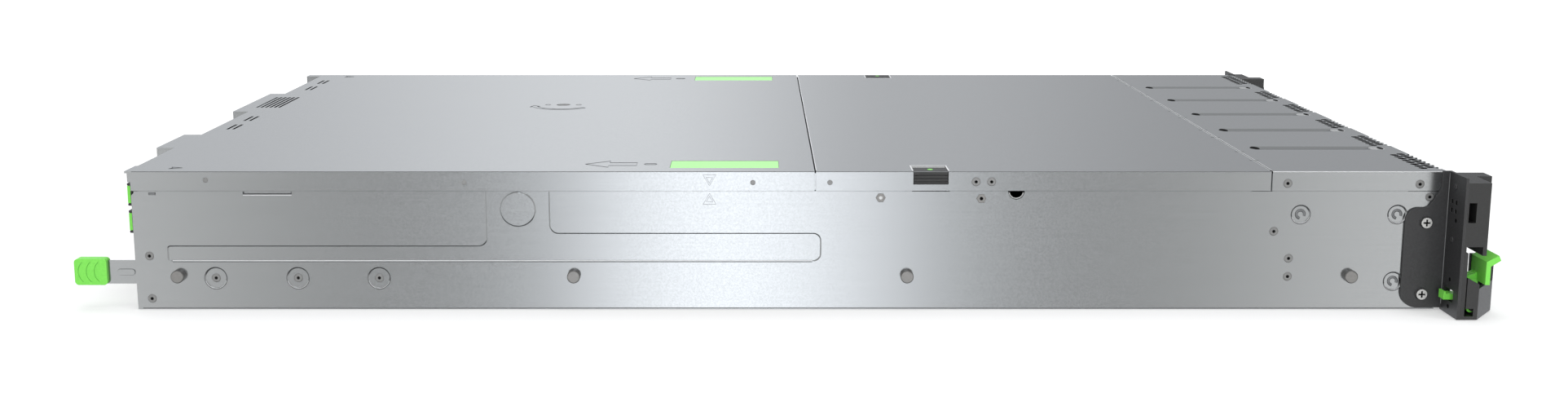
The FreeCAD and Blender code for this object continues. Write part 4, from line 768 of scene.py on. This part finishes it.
slide_arrow = ((arrow_tip, 0.0), (arrow_base, arrow_wing), (arrow_base, arrow_shaft),
               (arrow_end, arrow_shaft), (arrow_end, -arrow_shaft), (arrow_base, -arrow_shaft),
               (arrow_base, -arrow_wing))
edge_mark = ((edge_rear, -edge_wing), (edge_tip, 0.0), (edge_rear, edge_wing), (edge_notch, 0.0))
top_marks = []
for side in (-1, 1):
    top_marks.append(flat_outline(slide_arrow, side * arrow_y))
    top_marks.append(flat_outline(long_round(hole_rear, hole_front, hole_radius), side * arrow_y))
    top_marks.append(flat_outline(edge_mark, side * edge_y))

# %% Bent arrow and holes round the lock
lock_x, lock_y, lock_hole, rim_flatness = -169.0, 46.5, 12.0, (1.0, 1.0, 0.3)
ring_inner, ring_outer, ring_mid, head_width = 21.0, 24.5, 22.75, 4.0
turn_start, turn_end, head_turn, turn_steps = math.radians(204.0), math.radians(320.0), math.radians(14.0), 14


def around_lock(radius, angle):
    """A place at a radius and an angle from the lock's centre."""
    return (lock_x + radius * math.cos(angle), lock_y + radius * math.sin(angle))


turns = [turn_start + (turn_end - turn_start) * k / turn_steps for k in range(turn_steps + 1)]
bent = [around_lock(ring_outer, turn) for turn in turns]
bent += [around_lock(ring_inner, turn) for turn in reversed(turns)]
bent += [around_lock(ring_mid - head_width, turn_start), around_lock(ring_mid, turn_start - head_turn),
         around_lock(ring_mid + head_width, turn_start)]
engrave("cover_marks", "rear_cover", top_marks + [flat_outline(bent)])
lock_holes = [spot((lock_x + off, lock_y, top), size=rim_flatness) for off in (-lock_hole, lock_hole)]
rings("lock_hole_rims", "rear_cover", lock_holes, "rivet_steel", radius=1.9, bead=0.4, steps=17)

# %% [markdown]
# ## Cover latches
# Each spring latch at the edge of the middle cover is a black button with a small green dot. Behind it the
# cover dips in a hollow curve that leaves room for a finger. The curve is a bent strip of sheet in bright
# plate, whose paleness is partly a painted highlight, swept along the pocket, and it ends before the place
# the button reaches when it is pressed.

# %% Green dots and finger dishes
latch_inner, latch_travel, dot_y = 205.5, 3.0, 211.5
dish_inner, dish_gap, dish_sink, dish_drop, dish_margin, dish_steps = 198.95, 0.2, 0.05, 3.4, 0.3, 6
dish_width = latch_inner - latch_travel - dish_gap - dish_inner
dish_turns = [math.pi / 2 * k / dish_steps for k in range(dish_steps + 1)]
dish_profile = [(dish_inner + dish_width * math.sin(turn), top - dish_sink - dish_drop * (1 - math.cos(turn)))
                for turn in dish_turns]
far_end = len(dish_profile)
for side, sign in both_sides:
    latch_low, latch_high = (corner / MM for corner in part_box(f"cover_latch_{side}"))
    dot = spot(((latch_low.x + latch_high.x) / 2, sign * dot_y, latch_high.z))
    heads(f"latch_dot_{side}", f"cover_latch_{side}", [dot], "green_plastic", sides=14, base=1.8, top=1.65,
          rise=0.06)
    dish_ends = (latch_low.x - dish_margin, latch_high.x + dish_margin)
    places = [(x, sign * y, z) for x in dish_ends for y, z in dish_profile]
    faces = [(k, k + 1, far_end + k + 1, far_end + k)[::-sign] for k in range(dish_steps)]
    # The dish's bright plate is partly a painted highlight on the curve.
    dish = plain_piece(f"finger_dish_{side}", places, faces, finishes["bright_plate"])
    sheet = dish.modifiers.new("sheet", "SOLIDIFY")
    sheet.thickness = 0.4 * MM
    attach(dish, "mid_cover")
    print("dish of", len(faces), "strips at the", side)

# %% [markdown]
# ## Seams and bends
# A bent edge of plated sheet has a small round that mirrors a different part of the room from the flats
# beside it. From a distance it is a fine line: dark along the long edges of the covers and the foot of the
# walls, and bright across the seams, where the cut edge of the sheet catches the light. Each line is a flat
# strip a few hundredths of a millimetre proud, carried by the cover it belongs to, and its colour is painted
# shade or a painted highlight.

# %% Lines along the edges
edge_line, edge_rise = 0.45, 0.04
foot_rear, foot_front, foot_z, foot_line = -399.0, 401.5, 0.6, 0.7


def strip_spot(start, end, facing, width, rise=edge_rise):
    """A strip between two places in millimetres, lying on a face."""
    start, end = Vector(start), Vector(end)
    way = end - start
    return block_spot((start + end) / 2, (way.length, width, rise), facing, way.normalized())


def side_strips(start, end, width, out=half_width, rise=edge_rise, lean=(1.0, 0.0)):
    """Strips on both sides between two places, given as X and Z. They face outwards and may lean upwards."""
    return [strip_spot((start[0], side * out, start[1]), (end[0], side * out, end[1]),
                       (0.0, side * lean[0], lean[1]), width, rise) for side in (-1, 1)]


mid_front = 296.6
cover_spans = {"rear_cover": (-401.0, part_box("rear_cover")[1].x / MM),
               "mid_cover": (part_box("mid_cover")[0].x / MM, mid_front),
               "chassis": [corner.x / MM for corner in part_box("front_top_panel")]}
edge_z = top - edge_line / 2
# The dark lines along the cover edges are painted shade; the front panel's bright line is a painted
# highlight.
for body, (rear_end, front_end) in cover_spans.items():
    blocks(f"edge_lines_{body}", body, side_strips((rear_end, edge_z), (front_end, edge_z), edge_line),
           "cut_edge" if body == "chassis" else "dark_line_grey")
# The dark line at the foot of the walls is painted shade.
foot_strips = side_strips((foot_rear, foot_z), (foot_front, foot_z), foot_line)
blocks("foot_shade_lines", "chassis", foot_strips, "dark_line_grey")

# %% Folded edge under the covers
fold_z, fold_height, fold_base, fold_rise = 74.58, 0.36, 216.9, 0.5
fold_spans = ((-398.0, 77.0), (100.0, 135.6), (146.4, 285.0), (298.0, 381.0))
folds = []
for start, end in fold_spans:
    folds += side_strips((start, fold_z), (end, fold_z), fold_height, fold_base, fold_rise)
blocks("folded_edges", "chassis", folds, "zinc_steel")

# %% Lanced tongue
tongue_rear, tongue_front, tongue_foot, tongue_top = -333.2, -303.5, 72.7, 74.4
cut_line, cut_side, glint_line = 0.55, 0.5, 0.4
glint_z = tongue_foot - cut_line
tongue_cuts = side_strips((tongue_rear, tongue_foot), (tongue_front, tongue_foot), cut_line)
for x in (tongue_rear, tongue_front):
    tongue_cuts += side_strips((x, tongue_foot), (x, tongue_top), cut_side)
blocks("tongue_cuts", "chassis", tongue_cuts, "engraved")
tongue_glints = side_strips((tongue_rear, glint_z), (tongue_front, glint_z), glint_line)
blocks("tongue_glints", "chassis", tongue_glints, "cut_edge")

# %% Rims of the embossing
emboss_rear, emboss_front, emboss_low, emboss_line = -379.0, 16.0, 30.3, 0.5
shade_z, lip_z, lip_out, lip_lean = emboss_low - 0.25, emboss_low + 0.4, half_width - 0.3, (0.8, 0.6)
rim_bead, rim_inset = 0.2, 0.42
# Along the embossing's lower edge, a dark line of painted shade with a bright line of painted highlight above
# it; round each dimple, a dark ring of painted shade and a bright arc of painted highlight.
shades = side_strips((emboss_rear, shade_z), (emboss_front, shade_z), emboss_line)
glints = side_strips((emboss_rear, lip_z), (emboss_front, lip_z), emboss_line, lip_out, lean=lip_lean)
blocks("emboss_shades", "chassis", shades, "dark_line_grey")
blocks("emboss_glints", "chassis", glints, "cut_edge")
for kind, places, radius in (("round", dimple_rivets, 7.0), ("key", key_dimples, 6.0)):
    rims = wall_spots(places, 0.0, rim_flatness)
    rings(f"{kind}_dimple_shade_rings", "chassis", rims, "dark_line_grey", radius=radius, bead=rim_bead, steps=49)
    rings(f"{kind}_dimple_glints", "chassis", rims, "cut_edge", radius=radius - rim_inset, bead=rim_bead,
          steps=25, start=195.0, sweep=150.0)

# %% Cheeks of the rear hoods
hood_rear, hood_front, cheek_z, cheek_height, cheek_wall = -414.5, -403.9, 82.4, 6.8, 1.0
hood_ends = ((-138.2, -1), (-88.1, 1), (13.1, -1), (104.8, 1), (208.4, -1))
cheeks = []
for y, out in hood_ends:
    inside = y - out * cheek_wall
    cheeks.append(strip_spot((hood_rear, inside, cheek_z), (hood_front, inside, cheek_z), (0.0, out, 0.0),
                             cheek_height, cheek_wall))
blocks("hood_cheeks", "rear_cover", cheeks, "zinc_steel")

# %% Painted highlights at the seams and round the latch pockets
seam_reach, seam_line, pocket_line = 214.0, 0.5, 0.9
pocket_rear, pocket_front, pocket_depth, pocket_edge = 77.4, 99.5, 198.5, half_width - 1.5


def top_strip(start, end, width):
    """A strip on the flat of a cover between two places given as X and Y."""
    return strip_spot((*start, top), (*end, top), up, width)


for body, places in (("mid_cover", (mid_front, 18.3)), ("chassis", (297.9,))):
    seams = [top_strip((x, -seam_reach), (x, seam_reach), seam_line) for x in places]
    blocks(f"seam_glints_{body}", body, seams, "cut_edge")
pocket_glints = []
for side in (-1, 1):
    inner, outer = side * pocket_depth, side * pocket_edge
    pocket_glints.append(top_strip((pocket_rear, inner), (pocket_front, inner), pocket_line))
    pocket_glints += [top_strip((x, inner), (x, outer), pocket_line) for x in (pocket_rear, pocket_front)]
blocks("pocket_glints", "mid_cover", pocket_glints, "cut_edge")

# %% [markdown]
# ## Grooves and vents of the front panel
# Each stiffening groove ends at the rear in a dark oval of painted shade, and at the front on a land painted
# bright as a highlight, with a smaller oval hole. The ovals are round discs, scaled more across the case than
# along it. The hexagonal vents look black from a low eye because their far walls lie in shade, so each vent
# gets a thin dark ring of painted shade.

# %% Ends of the stiffening grooves
groove_pitch, groove_floor = 69.5, 85.5
# The dark rear ovals are painted shade and the bright lands a painted highlight.
groove_discs = {"groove_end_shades": (311.4, (2.65, 5.3, 1.0), 1.53, "dark_hole"),
                "groove_glint_lands": (391.9, (5.0, 5.0, 1.0), 1.36, "bright_plate"),
                "groove_holes": (394.2, (1.7, 4.0, 1.0), 1.4, "dark_hole")}
for name, (x, size, rise, finish) in groove_discs.items():
    discs = [spot((x, index * groove_pitch, groove_floor), size=size) for index in (-2, -1, 0, 1, 2)]
    heads(name, "chassis", discs, finish, sides=32, base=1.0, top=1.0, rise=rise)

# %% Painted shade in the vents
vent_front, vent_pitch, vent_radius, vent_middle, vent_shade_width, vent_rows = 404.4, 6.2, 2.67, 86.4, 0.25, 3
vent_groups = ((8, -11.7), (6, -8.7), (6, -8.7), (6, -6.8), (6, -7.8), (8, 9.2))
vent_spots = {"open": [], "closed": []}
for group, (count, shift) in enumerate(vent_groups):
    middle = (group - (len(vent_groups) - 1) / 2) * groove_pitch + shift
    for row in range(vent_rows):
        x = vent_front - row * vent_pitch * math.sqrt(0.75)
        for index in range(count):
            y = middle + (index - (count - 1) / 2 + row % 2 / 2) * vent_pitch
            vent_spots["closed" if row else "open"].append(spot((x, y, vent_middle), size=(1.0, 1.0, 2.0)))
for kind, start, sweep, steps in (("open", 120.0, 120.0, 3), ("closed", 0.0, 360.0, 7)):
    rings(f"vent_shade_rings_{kind}", "chassis", vent_spots[kind], "dark_hole", radius=vent_radius, bead=vent_shade_width,
          steps=steps, start=start, sweep=sweep)

# %% [markdown]
# ## Half-round windows
# Under the edge of the middle cover the wall has a half-round opening, and a curled lip shows in it. The lip
# is a part of a ring in bright plating, set a little behind the face of the wall.

# %% Curled lips
window_place, curl_depth, curl_flatness = (141.0, 74.4), 0.75, (1.0, 1.0, 0.6)
rings("window_lips", "chassis", wall_spots((window_place,), curl_depth, curl_flatness), "screw_steel",
      radius=4.45, bead=0.5, steps=16, start=190.0, sweep=160.0)

# %% [markdown]
# ## Mounting ears
# Each ear is bolted to the wall with two bright screws that have a cross slot, and its front moulding is held
# from behind by two small dark ones. The bright screws take the place of the plain heads in the frame. The
# dark ones are only heads, because their shanks are out of sight. The floors of the cross slots are dark
# blocks of painted shade, and a fine grey line along the fold of the bracket is a painted highlight.

# %% Ear screws
flange_face, slot_floor, slot_line = 219.0, 1.02, Vector((4.0, 0.9, 0.05)) * MM
bright_screws = wall_spots(((392.5, 10.2), (392.5, 55.4)), half_width - flange_face)
ear_screws = screws("ear_screw_heads", "chassis", bright_screws, "screw_steel", sides=18, radius=3.85,
                    rise=2.0, slot_depth=1.0)
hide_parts("ear_screws")
# Dark blocks on the floors of the cross slots: painted shade.
cross_lines = [Spot(item.place + Vector(item.facing) * slot_floor * MM, item.facing, along, slot_line)
               for item in bright_screws for along in (item.along, up)]
blocks("ear_screw_slot_shades", "chassis", cross_lines, "dark_hole")

# %% Backs of the ears
plate_back, pipe_depth, pipe_size = 405.4, 0.9, Vector((2.75, 2.75, 0.2)) * MM
bend_inset, bend_low, bend_high = 0.16, 4.0, 86.4
bend_x, bend_out, bend_width = plate_back - bend_inset, flange_face + bend_inset, bend_inset * math.sqrt(8.0)
pipe_places = ((224.0, 70.0), (229.5, 70.0), (224.0, 64.5), (229.5, 64.5))
small_holes = ((231.0, 59.2), (228.7, 21.9), (228.7, 5.1))


def ear_spots(places, depth=0.0, size=whole):
    """Spots on the rear faces of both ear plates, from a distance off the middle and a height."""
    return [spot((plate_back + depth, side * off, z), rear, to_right, size)
            for off, z in places for side in (-1, 1)]


screws("ear_plate_screws", "chassis", ear_spots(((227.6, 79.6), (227.6, 46.9))), "black_steel", sides=16,
       radius=1.9, rise=0.5, slot_depth=0.35)
# A grey line along each fold: a painted highlight on the black bracket.
bends = [strip_spot((bend_x, side * bend_out, bend_low), (bend_x, side * bend_out, bend_high),
                    (-1.0, side, 0.0), bend_width) for side in (-1, 1)]
blocks("bracket_bend_glints", "chassis", bends, "dark_line_grey")
blocks("light_pipes", "chassis", ear_spots(pipe_places, pipe_depth, pipe_size), "dark_hole")
heads("ear_plate_holes", "chassis", ear_spots(small_holes), "dark_hole", sides=14, base=1.3, top=1.25,
      rise=0.05)

# %% [markdown]
# ## Guards and levers of the ears
# The guard of a real ear is a strip against the plate and a cup round the foot of the lever, with a narrow
# dark joint between the two. The frame has both in one solid. A Boolean modifier saws a thin slot into a copy
# of its mesh, and the copy takes the solid's place. Its loose triangles are merged first, because a Boolean
# needs a closed skin. The lever gets three thin ribs that stiffen the corner between its foot and its wall.

# %% Joint between strip and cup
joint_x, joint_y, joint_z, joint_size = 410.2, cad_high.y / MM, 15.1, (0.8, 2.8, 25.8)
merge_reach = 0.001 * MM
for side, sign in both_sides:
    skin = nodes[f"ear_housing_{side}"].data.copy()
    work = bmesh.new()
    work.from_mesh(skin)
    bmesh.ops.remove_doubles(work, verts=work.verts, dist=merge_reach)
    work.to_mesh(skin)
    work.clear()
    place = Matrix.Translation(Vector((joint_x, sign * joint_y, joint_z)) * MM)
    bmesh.ops.create_cube(work, size=MM, matrix=place @ Matrix.Diagonal((*joint_size, 1.0)))
    blade_mesh = bpy.data.meshes.new("saw_blade")
    work.to_mesh(blade_mesh)
    work.free()
    blade = bpy.data.objects.new("saw_blade", blade_mesh)
    guard = bpy.data.objects.new(f"ear_guard_{side}", skin)
    for item in (blade, guard):
        scene.collection.objects.link(item)
    saw = guard.modifiers.new("joint", "BOOLEAN")
    saw.operation = "DIFFERENCE"
    saw.solver = "EXACT"
    saw.object = blade
    keep_result(guard, "chassis")
    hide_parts(f"ear_housing_{side}")
    bpy.data.objects.remove(blade)

# %% Ribs of the levers
rib_profile = ((412.4, 22.9), (421.5, 22.9), (421.5, 26.9))
rib_offsets, rib_half = (224.0, 226.5, 229.0), 0.5
rib_faces = ((0, 1, 2), (5, 4, 3), (0, 3, 4, 1), (1, 4, 5, 2), (2, 5, 3, 0))
for side, sign in both_sides:
    places, faces = [], []
    for offset in rib_offsets:
        faces += [tuple(len(places) + corner for corner in face) for face in rib_faces]
        places += [(x, sign * offset + edge, z) for edge in (-rib_half, rib_half) for x, z in rib_profile]
    ribs = plain_piece(f"lever_ribs_{side}", places, faces, finishes["green_plastic"])
    keep_result(ribs, f"ear_lever_{side}")

# %% Beads of the latch strips
bead_rear, bead_front, bead_z, bead_half, bead_line, strip_face = -414.0, -406.8, 22.0, 1.9, 0.22, 211.6
bead_outline = long_round(bead_rear, bead_front, bead_half)
for side, sign in both_sides:
    outline = [(x, sign * strip_face, bead_z + off) for x, off in bead_outline]
    engrave(f"bead_lines_{side}", f"psu_latch_{side}", [outline], bead_line)

# %% [markdown]
# ## Rear of the power supplies
# A supply shows a fan behind a wire guard, a black inlet for the mains cord and one lamp. The guard is three
# welded rings on four spokes. It sits just inside the mouth of the round recess, so nothing stands out when
# the supply is drawn from its bay.

# %% Fan guards, inlets and lamps
psu_face, fan_out, inlet_out, lamp_out, fan_z, lamp_z = -398.0, 186.9, 149.9, 132.0, 22.0, 36.5
hub_radius, mouth_radius, guard_radii = 6.5, 17.0, (8.6, 11.4, 14.2)
guard_depth, spoke_depth, vane_depth = 0.7, 1.2, 3.9
ray_length, ray_middle = mouth_radius - hub_radius, (mouth_radius + hub_radius) / 2
spoke_size, vane_size, vane_middle = (ray_length, 1.2, 1.0), (ray_length - 1.0, 4.2, 1.6), ray_middle - 0.3
inlet_wide, inlet_high, frame_width, frame_rise = 28.2, 20.2, 2.0, 0.8


def rear_block(x, y, z, size, turn=0.0):
    """A block on a rearward face, from its place and size in millimetres, turned in that face."""
    return block_spot((x, y, z), size, rear, (0.0, -math.cos(turn), math.sin(turn)))


def fan_rays(x, y, count, first, middle, size):
    """Blocks that stand like spokes round the axis of a fan."""
    turns = [math.radians(first + 360.0 * k / count) for k in range(count)]
    return [rear_block(x, y - middle * math.cos(turn), fan_z + middle * math.sin(turn), size, turn)
            for turn in turns]


for side, sign in both_sides:
    body, fan_y, inlet_y = f"psu_{side}", sign * fan_out, sign * inlet_out
    centre = [spot((psu_face + guard_depth, fan_y, fan_z), rear, to_right)]
    for number, radius in enumerate(guard_radii, 1):
        rings(f"guard_ring_{number}_{side}", body, centre, "connector_shell", radius=radius, bead=0.55,
              steps=33)
    spokes = fan_rays(psu_face + spoke_depth, fan_y, 4, 45.0, ray_middle, spoke_size)
    vanes = fan_rays(psu_face + vane_depth, fan_y, 9, 0.0, vane_middle, vane_size)
    blocks(f"guard_spokes_{side}", body, spokes, "connector_shell", taper=0.9)
    blocks(f"supply_fan_vanes_{side}", body, vanes, "rotor_plastic", taper=0.4)
    bars = []
    for step in (-1, 1):
        bars.append(rear_block(psu_face, inlet_y, fan_z + step * (inlet_high + frame_width) / 2,
                               (inlet_wide + 2 * frame_width, frame_width, frame_rise)))
        bars.append(rear_block(psu_face, inlet_y + step * (inlet_wide + frame_width) / 2, fan_z,
                               (frame_width, inlet_high, frame_rise)))
    blocks(f"inlet_frame_{side}", body, bars, "black_plastic", taper=0.96)
    supply_lamp = spot((psu_face, sign * lamp_out, lamp_z), rear, to_right)
    heads(f"supply_lamp_{side}", body, [supply_lamp], "green", sides=14, base=1.3, top=0.9, rise=0.5)

# %% [markdown]
# ## Rear sockets
# The plain shells in the frame get what a plug would meet: a tongue in the flat sockets, eight gold springs
# and two lamps at the network sockets, and rows of pins in a black face between two hex posts on the wide
# ones.

# %% Tongues, springs and lamps
socket_face, flat_sockets, network_sockets = -402.6, (-16.0, 4.0), (26.0, 46.0, 66.0)
tongue_x, tongue_z, tongue_size = -393.4, board_top + 4.5, (10.4, 1.7, 7.4)
spring_x, spring_z, spring_pitch, spring_size = -393.0, board_top + 10.2, 1.02, (0.45, 0.7, 7.0)
spring_count = 8
signal_z, signal_step, signal_size = board_top + 12.2, 6.6, (2.0, 1.8, 0.25)
tongues = [rear_block(tongue_x, y, tongue_z, tongue_size) for y in flat_sockets]
blocks("flat_tongues", "chassis", tongues, "black_plastic", taper=0.97)
springs = [rear_block(spring_x, y + (k - (spring_count - 1) / 2) * spring_pitch, spring_z, spring_size)
           for y in network_sockets for k in range(spring_count)]
blocks("network_springs", "chassis", springs, "gold")
for lens, way in (("green", -1), ("amber", 1)):
    signals = [rear_block(socket_face, y + way * signal_step, signal_z, signal_size) for y in network_sockets]
    blocks(f"network_lamps_{lens}", "chassis", signals, lens, taper=0.9)

# %% Faces, pins and posts
wide_sockets, wide_z, post_step = (-84.0, -46.0), board_top + 6.25, 12.3
face_rise, pin_pitch, pin_lean, row_pitch, pin_size = 0.9, 2.6, 0.6, 2.2, (0.7, 0.7, 0.5)
pin_x, face_size, pin_columns = socket_face - face_rise, (17.0, 8.4, face_rise), (-2, -1, 0, 1, 2)
socket_faces = [rear_block(socket_face, y, wide_z, face_size) for y in wide_sockets]
pins = [rear_block(pin_x, y + column * pin_pitch + row * pin_lean, wide_z + row * row_pitch, pin_size)
        for y in wide_sockets for row in (-1, 0, 1) for column in pin_columns]
posts = [spot((socket_face, y + step * post_step, wide_z), rear, to_right)
         for y in wide_sockets for step in (-1, 1)]
blocks("wide_socket_faces", "chassis", socket_faces, "black_plastic", taper=0.93)
blocks("wide_socket_pins", "chassis", pins, "gold", taper=0.7)
heads("wide_socket_posts", "chassis", posts, "bright_plate", sides=6, base=2.5, top=2.4, rise=2.2)

# %% [markdown]
# ## Drive fronts
# Each drive has a lever with a green catch at its foot and a field of vents, and two lamps on the bezel below
# the lever. The catch and the vents belong to the lever and swing with it.

# %% Catches, vents and lamps
lever_face, catch_z, catch_size = 410.3, 19.0, (9.0, 8.0, 1.2)
bezel_face, signal_z, signal_step, signal_size = 406.0, 7.5, 2.6, (2.2, 1.4, 0.4)
hole_pitch, hole_row, lowest_hole, hole_columns, hole_rows, middle_hole = 3.4, 3.0, 30.0, 3, 13, 1.25
for number in range(1, 5):
    low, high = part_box(f"drive_{number}")
    y, body = (low.y + high.y) / 2 / MM, f"drive_lever_{number}"
    catch = block_spot((lever_face, y, catch_z), catch_size, ahead, to_left)
    blocks(f"lever_catch_{number}", body, [catch], "green_plastic", taper=0.8)
    holes = [spot((lever_face, y + (k - middle_hole + row % 2 / 2) * hole_pitch,
                   lowest_hole + row * hole_row), ahead, to_left)
             for row in range(hole_rows) for k in range(hole_columns)]
    heads(f"lever_vents_{number}", body, holes, "dark_hole", sides=6, base=1.25, top=1.2, rise=0.06)
    for lens, way in (("green", -1), ("amber", 1)):
        signal = block_spot((bezel_face, y + way * signal_step, signal_z), signal_size, ahead, to_left)
        blocks(f"drive_lamp_{lens}_{number}", f"drive_{number}", [signal], lens, taper=0.85)

# %% [markdown]
# ## Inside
# With the middle cover open, the memory, the heat sinks and the fans come into sight. Memory chips sit nine
# to a face on every module, each module is held by a latch at both ends, and the board in front of the heat
# sinks carries the chokes and capacitors of the power circuits.

# %% Memory chips and latches
bank_centres, bank_pitch, bank_count, module_half = (-179.0, -31.0, 31.0, 179.0), 8.0, 6, 1.5
chip_count, first_chip, chip_pitch, chip_z, chip_size = 9, 9.0, 13.6, 31.1, (10.5, 12.5, 0.7)
latch_places, latch_z, latch_size = (-4.9, 131.9), 9.7, (3.4, 5.4, 21.0)
chips, latches = [], []
for bank in bank_centres:
    for k in range(bank_count):
        y = bank + (k - (bank_count - 1) / 2) * bank_pitch
        chips += [block_spot((first_chip + chip * chip_pitch, y + face * module_half, chip_z), chip_size,
                             (0.0, face, 0.0), (-face, 0.0, 0.0))
                  for chip in range(chip_count) for face in (-1.0, 1.0)]
        latches += [block_spot((x, y, latch_z), latch_size) for x in latch_places]
blocks("memory_chips", "chassis", chips, "chip", taper=0.94)
blocks("memory_latches", "chassis", latches, "black_plastic", taper=0.8)

# %% Power circuits and fan grips
choke_x, choke_size, can_x = 126.0, (9.0, 8.0, 5.5), 138.0
first_choke, choke_pitch, choke_count = 66.0, 11.0, 8
grip_x, grip_z, grip_size, fan_count = 219.0, 62.4, (22.0, 16.0, 2.4), 6
choke_places = [side * (first_choke + k * choke_pitch) for side in (-1, 1) for k in range(choke_count)]
chokes = [block_spot((choke_x, y, board_top), choke_size) for y in choke_places]
cans = [spot((can_x, y, board_top)) for y in choke_places]
blocks("chokes", "chassis", chokes, "stud_steel", taper=0.88)
heads("capacitors", "chassis", cans, "bright_plate", sides=16, base=3.2, top=3.1, rise=8.0)
fan_grips = [block_spot((grip_x, (k - (fan_count - 1) / 2) * groove_pitch, grip_z), grip_size)
             for k in range(fan_count)]
blocks("fan_grips", "chassis", fan_grips, "green_plastic", taper=0.86)
